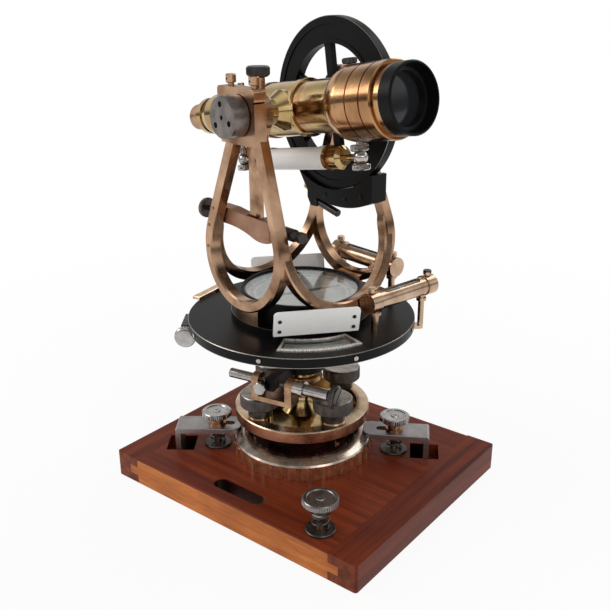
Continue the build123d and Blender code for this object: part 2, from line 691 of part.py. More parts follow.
LOWER_AXIS = Location((0, -LOWER_AXIS_RADIUS, LOWER_AXIS_HEIGHT))
lug_clear = LUG_HALF_WIDTH + TIP_GAP
spring_barrel = turned([
    (LOWER_SPRING_END, 0), (LOWER_SPRING_END, SPRING_BARREL_RADIUS - 0.5),
    (LOWER_SPRING_END + 0.5, SPRING_BARREL_RADIUS), (-9.6, SPRING_BARREL_RADIUS), (-9.6, TANGENT_TIP_RADIUS),
    (-lug_clear, TANGENT_TIP_RADIUS), (-lug_clear, 0),
], Axis.X)
screw_barrel = turned([
    (13.9, TANGENT_SHAFT_RADIUS + RUNNING), (13.9, SCREW_BARREL_RADIUS), (20.5, SCREW_BARREL_RADIUS),
    (20.5, 5.8), (26, 5.8), (26, 6.5), (29.5, 6.5), (29.5, SCREW_BARREL_RADIUS),
    (LOWER_SCREW_END, SCREW_BARREL_RADIUS), (LOWER_SCREW_END, TANGENT_SHAFT_RADIUS + RUNNING),
], Axis.X)
with BuildPart() as lower_tangent_barrels:
    add(spring_barrel.part)
    add(screw_barrel.part)


def tangent_screw(tip, face, disc_radius):
    """A slotted knurled disc on a plain shaft, along X, with its tip at tip."""
    side = 1 if face > tip else -1
    back = face - side * TANGENT_DISC_THICKNESS
    return turned([
        (tip, 0), (tip, TANGENT_TIP_RADIUS), (tip + side * 2, TANGENT_SHAFT_RADIUS),
        (back, TANGENT_SHAFT_RADIUS), (back, disc_radius - 0.6), (back + side * 0.6, disc_radius),
        (face - side * 0.6, disc_radius), (face, disc_radius - 0.6), (face, 0),
    ], Axis.X)


hand_over(lower_tangent_bracket(), "lower_tangent_bracket", LOWER)
hand_over(lower_tangent_barrels, "lower_tangent_barrels", LOWER * LOWER_AXIS)
lower_face = LOWER_SCREW_END + 3 + TANGENT_DISC_THICKNESS
hand_over(tangent_screw(lug_clear, lower_face, LOWER_DISC_RADIUS), "lower_tangent_screw", LOWER * LOWER_AXIS)

# Upper clamp and tangent screw, drawn with the arm along -Y

UPPER_PIN_PLACE = 8.0
UPPER_COLLAR_BOTTOM = UPPER_AXIS_HEIGHT - UPPER_COLLAR_UNDER_AXIS
UPPER_PIN_HEIGHT = UPPER_COLLAR_BOTTOM + COLLAR_HEIGHT / 2
upper_clamp_arm = clamp_collar(
    UPPER_COLLAR_BOTTOM, UPPER_ARM_PLACE, UPPER_AXIS_RADIUS + 2.4, UPPER_PIN_PLACE, UPPER_PIN_HEIGHT
)
hand_over(upper_clamp_arm, "upper_clamp_arm", UPPER)
hand_over(clamp_pin(UPPER_PIN_PLACE, UPPER_PIN_HEIGHT, 62), "upper_clamp_screw", UPPER)


def rim_bar():
    """The bar on the plate's edge that takes the housing's screws."""
    with BuildPart() as bar:
        with BuildSketch(Plane.XY.offset(PLATE_TOP)):
            with Locations((0, -RIM_BAR_PLACE)):
                Rectangle(RIM_BAR_LENGTH, RIM_BAR_WIDTH)
        extrude(amount=2.6)
        chamfer(bar.faces().sort_by(Axis.Z)[-1].edges(), 0.5)
    return bar


def upper_tangent_housing():
    """A saddle under the plate's rim, a block on each side of the clamp arm's end."""
    bridge = 4.0
    left, right = UPPER_DISC_FACE - TANGENT_DISC_THICKNESS - 26, UPPER_DISC_FACE - TANGENT_DISC_THICKNESS - 1
    with BuildPart() as housing:
        with BuildSketch(Plane.XY.offset(SKIRT_BOTTOM)):
            with Locations(((left + right) / 2, -UPPER_AXIS_RADIUS)):
                Rectangle(right - left, 7)
        extrude(amount=-bridge)
        with BuildSketch(Plane.XY.offset(SKIRT_BOTTOM)):
            with Locations((left + 2.5, -UPPER_AXIS_RADIUS), (right - 2.5, -UPPER_AXIS_RADIUS)):
                Rectangle(5, 7)
        extrude(amount=UPPER_AXIS_HEIGHT - 4 - SKIRT_BOTTOM)
        with BuildSketch(Plane.YZ.offset(right - 6)):
            with Locations((-UPPER_AXIS_RADIUS, UPPER_AXIS_HEIGHT)):
                Circle(TANGENT_SHAFT_RADIUS + RUNNING)
        extrude(amount=8, mode=Mode.SUBTRACT)
    return housing


with BuildPart() as housing_and_bar:
    add(upper_tangent_housing().part)
    with Locations(Location((0, 0, 0), (0, 0, RIM_BAR_TURN - UPPER_TURN))):
        add(rim_bar().part)
hand_over(housing_and_bar, "upper_tangent_housing", UPPER)
upper_tip = UPPER_ARM_PLACE + LUG_HALF_WIDTH + TIP_GAP + 0.4
upper_screw = tangent_screw(upper_tip, UPPER_DISC_FACE, UPPER_DISC_RADIUS)
upper_axis = Location((0, -UPPER_AXIS_RADIUS, UPPER_AXIS_HEIGHT))
hand_over(upper_screw, "upper_tangent_screw", UPPER * upper_axis)

# Vernier plate with its windows, verniers and reflectors

WINDOW_PLACES = [Location((0, 0, 0), (0, 0, turn)) for turn in WINDOW_TURNS]


def window_prism(bottom, height, margin):
    """The window's shape with a margin all round, raised from bottom."""
    half_angle = WINDOW_HALF_ANGLE + degrees(margin / WINDOW_INNER)
    with BuildPart() as prism:
        with BuildSketch(Plane.XY.offset(bottom)):
            add(ring_part(WINDOW_INNER - margin, WINDOW_OUTER + margin, half_angle))
        extrude(amount=height)
    return prism.part


def vernier_plate():
    with BuildPart() as plate:
        add(turned([
            (0, PLATE_UNDERSIDE), (PLATE_RADIUS - SKIRT_WALL, PLATE_UNDERSIDE),
            (PLATE_RADIUS - SKIRT_WALL, SKIRT_BOTTOM), (PLATE_RADIUS, SKIRT_BOTTOM),
            (PLATE_RADIUS, PLATE_TOP - 0.6), (PLATE_RADIUS - 0.6, PLATE_TOP), (STEP_RADIUS, PLATE_TOP),
            (STEP_RADIUS, STEP_TOP), (0, STEP_TOP),
        ]).part)
        with Locations(*WINDOW_PLACES):
            add(window_prism(PLATE_UNDERSIDE, PLATE_THICKNESS, 0), mode=Mode.SUBTRACT)
    return plate


def vernier_frames():
    rise = WINDOW_FRAME_HEIGHT - WINDOW_GLASS
    with BuildPart() as frame:
        add(window_prism(PLATE_TOP, WINDOW_FRAME_HEIGHT, WINDOW_FRAME))
        top = frame.faces().sort_by(Axis.Z)[-1]
        chamfer(top.edges(), 0.9)
        add(window_prism(PLATE_TOP, WINDOW_GLASS, WINDOW_FRAME / 2), mode=Mode.SUBTRACT)
        add(window_prism(PLATE_TOP + WINDOW_GLASS, rise, 0), mode=Mode.SUBTRACT)
    return copies(frame, WINDOW_PLACES)


def vernier_glasses():
    with BuildPart() as glass:
        add(window_prism(PLATE_TOP, WINDOW_GLASS, WINDOW_FRAME / 2 - SEAT))
    return copies(glass, WINDOW_PLACES)


def verniers():
    with BuildPart() as vernier:
        with BuildSketch(Plane.XY.offset(PLATE_UNDERSIDE)):
            add(ring_part(WINDOW_INNER - 1, LIMB_SCALE_INNER - 0.2, WINDOW_HALF_ANGLE + 2))
        extrude(amount=-(PLATE_UNDERSIDE - LIMB_TOP + LIMB_STEP - CLEAR))
        with BuildSketch(Plane.XY.offset(PLATE_UNDERSIDE)):
            add(ring_part(WINDOW_INNER, LIMB_SCALE_INNER, WINDOW_HALF_ANGLE))
        extrude(amount=-(PLATE_UNDERSIDE - LIMB_TOP), mode=Mode.SUBTRACT)
    return copies(vernier, WINDOW_PLACES)


def reflectors():
    """White plates leaning out over the windows, each soldered to two legs on the plate."""
    lean = radians(REFLECTOR_LEAN)
    plane = Plane(
        origin=(0, -REFLECTOR_RADIUS, REFLECTOR_BOTTOM), x_dir=(1, 0, 0), z_dir=(0, -cos(lean), -sin(lean))
    )
    height = REFLECTOR_TOP - REFLECTOR_BOTTOM
    with BuildPart() as reflector:
        with BuildSketch(plane) as outline:
            with Locations((0, height / 2)):
                Rectangle(REFLECTOR_WIDTH, height)
            fillet(outline.vertices().group_by(Axis.Y)[-1], 3.5)
            fillet(outline.vertices().group_by(Axis.Y)[0], 1)
        extrude(amount=REFLECTOR_THICKNESS)
        with BuildSketch(plane):
            with Locations((-LEG_PLACE, LEG_LENGTH / 2 - LEG_DROP), (LEG_PLACE, LEG_LENGTH / 2 - LEG_DROP)):
                Rectangle(LEG_WIDTH, LEG_LENGTH)
        extrude(amount=-LEG_THICKNESS)
        with BuildSketch(Plane.XY.offset(PLATE_TOP)):
            Rectangle(300, 300)
        extrude(amount=-20, mode=Mode.SUBTRACT)
    return copies(reflector, [Location((0, 0, 0), (0, 0, turn + 90)) for turn in WINDOW_TURNS])


hand_over(vernier_plate(), "vernier_plate", ALIDADE)
hand_over(vernier_frames(), "vernier_frames", ALIDADE)
hand_over(verniers(), "verniers", ALIDADE)
hand_over(reflectors(), "reflectors", ALIDADE)

# Compass

BOX_BORE = BOX_RADIUS - BOX_WALL
GLASS_TOP = BOX_TOP + GLASS_THICKNESS
DIAL_BOTTOM = STEP_TOP + BOX_FLOOR
PIVOT_TOP = NEEDLE_HEIGHT + 0.9

compass_case = turned([
    (0, STEP_TOP), (BOX_RADIUS, STEP_TOP), (BOX_RADIUS, BOX_TOP), (BOX_BORE, BOX_TOP), (BOX_BORE, DIAL_BOTTOM),
    (0, DIAL_BOTTOM),
])
compass_bezel = turned([
    (GLASS_RADIUS + SEAT, BOX_TOP), (BOX_RADIUS, BOX_TOP), (BOX_RADIUS, BEZEL_TOP - 0.6),
    (BOX_RADIUS - 0.6, BEZEL_TOP), (DIAL_RADIUS + 0.6, BEZEL_TOP), (DIAL_RADIUS, BEZEL_TOP - 0.6),
    (DIAL_RADIUS, GLASS_TOP), (GLASS_RADIUS + SEAT, GLASS_TOP),
])
with BuildPart() as compass_box:
    add(compass_case.part)
    add(compass_bezel.part)
hand_over(compass_box, "compass_box", ALIDADE)
compass_dial = turned([
    (0, DIAL_BOTTOM), (BOX_BORE - SEAT, DIAL_BOTTOM), (BOX_BORE - SEAT, DIAL_RING_TOP),
    (DIAL_RING_INNER, DIAL_RING_TOP), (DIAL_RING_INNER, DIAL_BOTTOM + 2), (2.4, DIAL_BOTTOM + 2),
    (2.4, DIAL_BOTTOM + 4), (1, DIAL_BOTTOM + 5.2), (0.25, PIVOT_TOP), (0, PIVOT_TOP),
])
hand_over(compass_dial, "compass_dial", ALIDADE)


def compass_needle():
    """A lozenge needle with a jewelled cap that rests on the pivot."""
    with BuildPart() as needle:
        with BuildSketch(Plane.XY.offset(NEEDLE_HEIGHT)):
            with BuildLine():
                Polyline(
                    (-NEEDLE_HALF_LENGTH, 0), (0, -2), (NEEDLE_HALF_LENGTH, 0), (0, 2), close=True
                )
            make_face()
        extrude(amount=1)
        with BuildSketch(Plane.XY.offset(NEEDLE_HEIGHT)):
            Circle(3)
        extrude(amount=2.4)
        with BuildSketch(Plane.XY.offset(NEEDLE_HEIGHT)):
            Circle(1)
        extrude(amount=PIVOT_TOP - NEEDLE_HEIGHT + 0.25, mode=Mode.SUBTRACT)
    return needle


NEEDLE_TURN = 62.0
hand_over(compass_needle(), "compass_needle", Location((0, 0, 0), (0, 0, NEEDLE_TURN)))
compass_glass = turned([(0, BOX_TOP), (GLASS_RADIUS, BOX_TOP), (GLASS_RADIUS, GLASS_TOP), (0, GLASS_TOP)])
with BuildPart() as cover_glasses:
    add(compass_glass.part)
    add(vernier_glasses().part)
hand_over(cover_glasses, "cover_glasses", ALIDADE)

# Standards: one casting of two leaning loops and two leaning arches

SIDES = (-1, 1)


def loop_face(height):
    """Distance of a loop's outer face from the middle plane at a height."""
    return LOOP_TOP_FACE + LOOP_LEAN * (LOOP_TOP - height)


def leg_tangent(radius, top_half, drop):
    """Where a leg that starts at the loop's top corner meets its round bottom."""
    reach = hypot(top_half, drop)
    angle = atan2(drop, top_half) - acos(radius / reach)
    return (radius * cos(angle), radius * sin(angle) - drop)


def standard_loop(side):
    lean = atan(LOOP_LEAN)
    drop = (LOOP_TOP - LOOP_CENTRE) / cos(lean)
    tangent = leg_tangent(LOOP_RADIUS, LOOP_TOP_HALF, drop)
    slope = (tangent[0] - LOOP_TOP_HALF) / -tangent[1]
    top = (LOOP_TOP_HALF - slope * LOOP_BAR, LOOP_BAR)
    plane = Plane(origin=(0, side * LOOP_TOP_FACE, LOOP_TOP), x_dir=(-side, 0, 0), z_dir=(0, side, LOOP_LEAN))
    with BuildPart() as loop:
        with BuildSketch(plane):
            with BuildLine():
                Line((-top[0], top[1]), (-tangent[0], tangent[1]))
                ThreePointArc((-tangent[0], tangent[1]), (0, -drop - LOOP_RADIUS), tangent)
                Polyline(tangent, top, (-top[0], top[1]))
            make_face()
            offset(amount=-LOOP_BAR, kind=Kind.INTERSECTION, mode=Mode.SUBTRACT)
        extrude(amount=-LOOP_DEPTH)
        outer_face = loop.faces().filter_by(plane).sort_by(Axis.Y)[-1 if side > 0 else 0]
        chamfer(outer_face.edges(), EDGE_BREAK)
    return loop.part


def standard_arch(side):
    lean = atan(ARCH_LEAN)
    rise = ARCH_FACE_DROP / cos(lean)
    tip = rise + ARCH_BLEND
    plane = Plane(
        origin=(side * ARCH_FACE, 0, ARCH_CENTRE - ARCH_FACE_DROP), x_dir=(0, side, 0), z_dir=(side, 0, ARCH_LEAN)
    )
    inner = ARCH_RADIUS - LOOP_BAR
    with BuildPart() as arch:
        with BuildSketch(plane):
            with BuildLine():
                ThreePointArc((-ARCH_RADIUS, rise), (0, rise - ARCH_RADIUS), (ARCH_RADIUS, rise))
                Polyline((ARCH_RADIUS, rise), (ARCH_RADIUS - 2, tip), (inner + 3.5, tip))
                TangentArc((inner, rise), (inner + 3.5, tip), tangent=(0, 1))
                ThreePointArc((inner, rise), (0, rise - inner), (-inner, rise))
                TangentArc((-inner, rise), (-inner - 3.5, tip), tangent=(0, 1))
                Polyline((-inner - 3.5, tip), (2 - ARCH_RADIUS, tip), (-ARCH_RADIUS, rise))
            make_face()
        extrude(amount=-ARCH_DEPTH)
        outer_face = arch.faces().filter_by(plane).sort_by(Axis.X)[-1 if side > 0 else 0]
        chamfer(outer_face.edges(), EDGE_BREAK)
    return arch.part


def standards():
    journal = JOURNAL_RADIUS + RUNNING
    head_middle = (HEAD_BACK + HEAD_FRONT) / 2
    with BuildPart() as casting:
        for side in SIDES:
            add(standard_loop(side))
            add(standard_arch(side))
        for turn in (0, 90, 180, 270):
            foot_half_angle = degrees(PAD_HALF_WIDTH / STEP_RADIUS)
            with BuildSketch(Plane.XY.offset(STEP_TOP).rotated((0, 0, turn))):
                add(ring_part(PAD_INNER, STEP_RADIUS, foot_half_angle))
            extrude(amount=PAD_TOP - STEP_TOP)
        for side in SIDES:
            with BuildSketch(Plane.XZ.offset(-side * HEAD_INNER)):
                with Locations((head_middle, (LOOP_TOP + HEAD_SPLIT) / 2)):
                    Rectangle(HEAD_FRONT - HEAD_BACK, HEAD_SPLIT - LOOP_TOP)
            extrude(amount=-side * (HEAD_OUTER - HEAD_INNER))
            with BuildSketch(Plane.XZ.offset(-side * HEAD_INNER)):
                with Locations((0, TRUNNION_HEIGHT)):
                    Circle(journal)
                with Locations((0, (TRUNNION_HEIGHT + HEAD_SPLIT) / 2)):
                    Rectangle(2 * journal, HEAD_SPLIT - TRUNNION_HEIGHT)
            extrude(amount=-side * (HEAD_OUTER - HEAD_INNER), mode=Mode.SUBTRACT)
    return casting


def capstan_head(radius, height):
    """A small round head on a neck, cross drilled for a pin, standing on the origin."""
    with BuildPart() as head:
        add(turned([
            (0, 0), (radius * 0.6, 0), (radius * 0.6, height * 0.2), (radius - 0.4, height * 0.25),
            (radius, height * 0.3), (radius, height - 0.5), (radius - 0.5, height), (0, height),
        ]).part)
        with BuildSketch(Plane.XZ.offset(-radius)):
            with Locations((0, height * 0.6)):
                Circle(radius * 0.22)
        extrude(amount=2 * radius, mode=Mode.SUBTRACT)
    return head


def bearing_caps():
    """Caps that close the bearings, each with a tongue down to the journal."""
    journal = JOURNAL_RADIUS + RUNNING
    back = HEAD_BACK - CAP_OVERHANG
    with BuildPart() as caps:
        for side in SIDES:
            with BuildSketch(Plane.XZ.offset(-side * HEAD_INNER)) as outline:
                with Locations(((back + HEAD_FRONT) / 2, (HEAD_SPLIT + HEAD_TOP) / 2)):
                    Rectangle(HEAD_FRONT - back, HEAD_TOP - HEAD_SPLIT)
                fillet(outline.vertices().group_by(Axis.Z)[-1], 3)
                with Locations((0, (TRUNNION_HEIGHT + HEAD_SPLIT) / 2)):
                    Rectangle(2 * journal - SEAT, HEAD_SPLIT - TRUNNION_HEIGHT)
                with Locations((0, TRUNNION_HEIGHT)):
                    Circle(journal, mode=Mode.SUBTRACT)
            extrude(amount=-side * (HEAD_OUTER - HEAD_INNER))
        head_middle = (HEAD_INNER + HEAD_OUTER) / 2
        with Locations(*[(x, side * head_middle, HEAD_TOP) for x in CAP_SCREW_PLACES for side in SIDES]):
            add(capstan_head(3.8, 8).part)
    return caps


hand_over(standards(), "standards", ALIDADE)
hand_over(bearing_caps(), "bearing_caps", ALIDADE)

# Vertical clamp and tangent screw, inside the near standard

ARM_MIDDLE = -(ARM_INNER + ARM_OUTER) / 2
PILLAR_PLACE = 3.0
PILLAR_RADIUS = 4.8
PILLAR_TOP = 335.0
ARM_COLLAR_RADIUS = 15.0
ARM_HEAD_RADIUS = 8.1
ARM_HEAD_TOP = 342.6
ARM_SCREW_RADIUS = 2.0


def clamp_arm():
    """A collar on the axle with a pillar above and a long arm below."""
    with BuildPart() as arm:
        with BuildSketch(Plane.XZ.offset(ARM_INNER)):
            with Locations((0, TRUNNION_HEIGHT)):
                Circle(ARM_COLLAR_RADIUS)
            with BuildLine():
                Polyline(
                    (-ARM_COLLAR_RADIUS * 0.8, TRUNNION_HEIGHT - 9),
                    (ARM_COLLAR_RADIUS * 0.8, TRUNNION_HEIGHT - 9),
                    (TANGENT_ARM_PLACE + ARM_HALF_WIDTH, TRUNNION_HEIGHT - 34),
                    (TANGENT_ARM_PLACE + ARM_HALF_WIDTH, ARM_FOOT), (TANGENT_ARM_PLACE - ARM_HALF_WIDTH, ARM_FOOT),
                    (TANGENT_ARM_PLACE - ARM_HALF_WIDTH, TRUNNION_HEIGHT - 34), close=True
                )
            make_face()
            with Locations((TANGENT_ARM_PLACE, ARM_FOOT)):
                Circle(ARM_HALF_WIDTH)
            with Locations((0, TRUNNION_HEIGHT)):
                Circle(AXLE_RADIUS + RUNNING, mode=Mode.SUBTRACT)
        extrude(amount=ARM_OUTER - ARM_INNER)
        with BuildSketch(Plane.XY.offset(TRUNNION_HEIGHT + AXLE_RADIUS + 2)):
            with Locations((PILLAR_PLACE, ARM_MIDDLE)):
                Circle(PILLAR_RADIUS)
        extrude(amount=PILLAR_TOP - TRUNNION_HEIGHT - AXLE_RADIUS - 2)
        with BuildSketch(Plane.XY.offset(PILLAR_TOP)):
            with Locations((PILLAR_PLACE, ARM_MIDDLE)):
                Circle(ARM_SCREW_RADIUS + RUNNING)
        extrude(amount=-(PILLAR_TOP - TRUNNION_HEIGHT - AXLE_RADIUS), mode=Mode.SUBTRACT)
    return arm


def clamp_arm_screw():
    knob = PILLAR_TOP + CLEAR
    return turned([
        (0, TRUNNION_HEIGHT + AXLE_RADIUS + 1), (ARM_SCREW_RADIUS, TRUNNION_HEIGHT + AXLE_RADIUS + 1),
        (ARM_SCREW_RADIUS, knob), (ARM_HEAD_RADIUS - 1.5, knob), (ARM_HEAD_RADIUS, knob + 1.2),
        (ARM_HEAD_RADIUS, ARM_HEAD_TOP - 0.8), (ARM_HEAD_RADIUS - 0.8, ARM_HEAD_TOP), (0, ARM_HEAD_TOP),
    ])


BRACKET_FRONT = 47.6
BRACKET_BACK = 37.6
BRACKET_PAD = 48.7


def vertical_tangent_bracket():
    """A bracket on the near standard's rear leg, open above where the arm's foot swings."""
    slot_half = ARM_HALF_WIDTH + TIP_GAP + 1.5
    left, right = TANGENT_ARM_PLACE - slot_half, TANGENT_ARM_PLACE + slot_half
    with BuildPart() as bracket:
        with BuildSketch(Plane.XZ.offset(BRACKET_BACK)):
            with BuildLine():
                outline = Polyline(
                    (-43.5, 222), (-43.5, 235.5), (-28, 235.5), (-14, 233.8), (20, 233.5), (20, 218)
                )
                ThreePointArc(outline @ 1, (8, 216.6), (-3, 219))
                ThreePointArc((-3, 219), (-14, 221.4), (-43.5, 222))
            make_face()
        extrude(amount=BRACKET_FRONT - BRACKET_BACK)
        with BuildSketch(Plane.XZ.offset(BRACKET_FRONT)):
            with Locations((-39.75, 230.5)):
                Rectangle(7.5, 7)
        extrude(amount=BRACKET_PAD - BRACKET_FRONT)
        with BuildSketch(Plane.XZ.offset(BRACKET_BACK)):
            with Locations(((left + right) / 2, 232)):
                Rectangle(right - left, 15)
        extrude(amount=BRACKET_FRONT - BRACKET_BACK - 1.2, mode=Mode.SUBTRACT)
        with BuildSketch(Plane.YZ.offset(-43.5)):
            with Locations((TANGENT_AXIS_SIDE, TANGENT_AXIS_HEIGHT)):
                Circle(SCREW_BARREL_RADIUS)
        extrude(amount=-8.5)
        with BuildSketch(Plane.YZ.offset(-52)):
            with Locations((TANGENT_AXIS_SIDE, TANGENT_AXIS_HEIGHT)):
                Circle(TANGENT_SHAFT_RADIUS + RUNNING)
        extrude(amount=left + 52, mode=Mode.SUBTRACT)
        with BuildSketch(Plane.YZ.offset(right)):
            with Locations((TANGENT_AXIS_SIDE, TANGENT_AXIS_HEIGHT)):
                Circle(SCREW_BARREL_RADIUS)
        extrude(amount=20, mode=Mode.SUBTRACT)
    return bracket


TANGENT_AXIS = Location((0, TANGENT_AXIS_SIDE, TANGENT_AXIS_HEIGHT))
right_tip = TANGENT_ARM_PLACE + ARM_HALF_WIDTH + TIP_GAP
left_tip = TANGENT_ARM_PLACE - ARM_HALF_WIDTH - TIP_GAP
barrel = SCREW_BARREL_RADIUS
vertical_spring_barrel = turned([
    (right_tip, 0), (right_tip, TANGENT_TIP_RADIUS), (8, TANGENT_TIP_RADIUS), (8, barrel), (43, barrel),
    (47, barrel - 1.6), (47.5, barrel - 1.6), (48.5, barrel - 0.4), (TANGENT_BARREL_END, barrel - 0.4),
    (TANGENT_BARREL_END, 0),
], Axis.X)
hand_over(clamp_arm(), "clamp_arm", ALIDADE)
arm_screw_place = Location((PILLAR_PLACE, ARM_MIDDLE, 0))
hand_over(clamp_arm_screw(), "clamp_arm_screw", ALIDADE * arm_screw_place)
hand_over(vertical_tangent_bracket(), "vertical_tangent_bracket", ALIDADE)
hand_over(vertical_spring_barrel, "vertical_spring_barrel", ALIDADE * TANGENT_AXIS)
vertical_screw = tangent_screw(left_tip, TANGENT_DISC_PLACE - 2, 7.8)
hand_over(vertical_screw, "vertical_tangent_screw", ALIDADE * TANGENT_AXIS)

# Guard of the vertical circle, on the far standard

GUARD_INNER = CIRCLE_RADIUS + 0.7
GUARD_FACE = 28.5
GUARD_BACK = 44.0
GUARD_WALL = 2.0
LUG_HEIGHT = 246.0
LUG_RADIUS = 3.5
ADJUSTER_PLACE = 36.0
ADJUSTER_DROP = 13.2


def adjuster_barrel():
    """The spring barrel of the vernier's adjustment, standing on the origin."""
    return turned([
        (0, 0), (3.1, 0), (3.1, 21), (2.6, 21.4), (2.6, 22.2), (3.1, 22.6), (3.1, 24.6), (2.7, 25.1), (0, 25.1),
    ])


def vertical_guard():
    """A hollow cast segment under the circle's edge, with two lugs to the standard's legs."""
    left_top, left_bottom, right_bottom = (-35.4, 254.2), (-25, 239), (49, 241)
    right_top = (49, TRUNNION_HEIGHT - (GUARD_INNER ** 2 - 49 ** 2) ** 0.5)
    lug_end = loop_face(LUG_HEIGHT) - LOOP_DEPTH - LOOP_LEAN * LUG_RADIUS
    with BuildPart() as guard:
        with BuildSketch(Plane.XZ.offset(-GUARD_FACE)) as outline:
            with BuildLine():
                ThreePointArc(left_bottom, (12, 231.5), right_bottom)
                Polyline(right_bottom, right_top, (49, 290), (-60, 290), left_top, left_bottom)
            make_face()
            with Locations((0, TRUNNION_HEIGHT)):
                Circle(GUARD_INNER, mode=Mode.SUBTRACT)
        solid_outline = outline.sketch
        extrude(amount=-(GUARD_BACK - GUARD_FACE))
        with BuildSketch(Plane.XY.offset(262)):
            Rectangle(200, 200)
        extrude(amount=40, mode=Mode.SUBTRACT)
        with BuildSketch(Plane.XZ.offset(-GUARD_FACE - GUARD_WALL)):
            with Locations((-3, 238.5), (20, 238.8), (38, 244)):
                Circle(2.4)
        extrude(amount=-(GUARD_BACK - GUARD_FACE), mode=Mode.SUBTRACT)
        with BuildSketch(Plane.XZ.offset(-GUARD_BACK)):
            with Locations((-28, LUG_HEIGHT), (32.3, LUG_HEIGHT)):
                Circle(LUG_RADIUS)
        extrude(amount=-(lug_end - GUARD_BACK))
        with BuildSketch(Plane.XZ.offset(-ADJUSTER_PLACE + 4)):
            with BuildLine():
                Polyline((-29, 244), (-29, 232), (-25, 225.5), (-18, 225.5), (-18, 241), close=True)
            make_face()
        extrude(amount=-8)
        with Locations(Location((-20, ADJUSTER_PLACE, 228.9), (0, 90 + ADJUSTER_DROP, 0))):
            add(adjuster_barrel().part)
        with Locations(Location((-29, ADJUSTER_PLACE, 238), (0, -72, 0))):
            add(capstan_head(2.6, 7).part)
    return guard


hand_over(vertical_guard(), "vertical_guard", ALIDADE)

# Plate levels, each drawn along X from its left end


def plate_level(length, windows_margin, posts):
    """A brass tube with end blocks, a window above, capstan heads and posts to the plate."""
    with BuildPart() as level:
        with BuildSketch(Plane.YZ):
            Circle(PLATE_LEVEL_RADIUS)
        extrude(amount=length)
        for start in (0, length - PLATE_LEVEL_BLOCK):
            with BuildSketch(Plane.YZ.offset(start)):
                Circle(PLATE_LEVEL_RADIUS + 0.9)
            extrude(amount=PLATE_LEVEL_BLOCK)
        with BuildSketch(Plane.YZ.offset(2)):
            Circle(PLATE_LEVEL_RADIUS - 1.6)
        extrude(amount=length - 4, mode=Mode.SUBTRACT)
        with BuildSketch(Plane.XY.offset(2)):
            with Locations((length / 2, 0)):
                SlotOverall(length - 2 * windows_margin, 8)
        extrude(amount=PLATE_LEVEL_RADIUS, mode=Mode.SUBTRACT)
        for place in (PLATE_LEVEL_BLOCK / 2, length - PLATE_LEVEL_BLOCK / 2):
            with Locations((place, 0, PLATE_LEVEL_RADIUS + 0.4)):
                add(capstan_head(3.4, 4.6).part)
        for place, side, drop, radius in posts:
            with BuildSketch(Plane.XY.offset(-drop)):
                with Locations((place, side)):
                    Circle(radius)
            extrude(amount=drop - PLATE_LEVEL_RADIUS + 1.4)
            with BuildSketch(Plane.XY.offset(-PLATE_LEVEL_RADIUS - 3.2)):
                with Locations((place, side)):
                    Circle(radius + 1.6)
            extrude(amount=2.4)
    return level


def level_vial(length):
    with BuildPart() as vial:
        with BuildSketch(Plane.YZ.offset(2 + SEAT)):
            Circle(PLATE_LEVEL_RADIUS - 1.6 - SEAT)
        extrude(amount=length - 4 - 2 * SEAT)
        fillet(vial.edges(), 1.5)
    return vial


FRONT_LEVEL = Location((FRONT_LEVEL_X, FRONT_LEVEL_RANGE[0], FRONT_LEVEL_HEIGHT), (0, 0, 90))
BACK_LEVEL = Location((BACK_LEVEL_RANGE[0], BACK_LEVEL_Y, BACK_LEVEL_HEIGHT))
front_length = FRONT_LEVEL_RANGE[1] - FRONT_LEVEL_RANGE[0]
back_length = BACK_LEVEL_RANGE[1] - BACK_LEVEL_RANGE[0]
front_drop = FRONT_LEVEL_HEIGHT - PLATE_TOP
back_drop = BACK_LEVEL_HEIGHT - PLATE_TOP
stud_drop = FRONT_LEVEL_HEIGHT - SKIRT_BOTTOM + 3
stud_place = (58.5, -2.4)
front_level = plate_level(front_length, 15, [(9, 0, front_drop, 3.2), (*stud_place, stud_drop, 2.4)])
back_level = plate_level(back_length, 15, [(6, 0, back_drop, 2.8), (back_length - 6, 0, back_drop, 2.8)])
with BuildPart() as front_level_foot:
    with BuildSketch(Plane.XY.offset(-stud_drop)):
        with Locations(Location((stud_place[0] - 1.6, stud_place[1] + 2.4, 0), (0, 0, -46))):
            Rectangle(5, 7.6)
    extrude(amount=stud_drop - front_drop - (PLATE_TOP - SKIRT_BOTTOM))
with BuildPart() as plate_levels:
    with Locations(FRONT_LEVEL):
        add(front_level.part)
        add(front_level_foot.part)
    with Locations(BACK_LEVEL):
        add(back_level.part)
hand_over(plate_levels, "plate_levels", ALIDADE)
with BuildPart() as plate_level_vials:
    with Locations(FRONT_LEVEL):
        add(level_vial(front_length).part)
    with Locations(BACK_LEVEL):
        add(level_vial(back_length).part)
hand_over(plate_level_vials, "plate_level_vials", ALIDADE)

# Telescope, drawn along X with the trunnion axis on Y

SLIDE_FRONT = 108.0
EYE_WALL = -104.0
SLIDE_STOP = 50.0
CELL_CHAMFER = 0.8
RETICLE_PLACE = -71.0
LENS_BACK = 98.5
LENS_FRONT = 104.5
LENS_CURVE = 90.0
SLEEVE_BORE = TUBE_RADIUS + RUNNING
REAR_BARREL_RADIUS = 18.3
BELL_CURVE = [(BELL_START + 1.6, TUBE_RADIUS + 1.1), (54, 24), (BELL_END, BELL_RADIUS)]


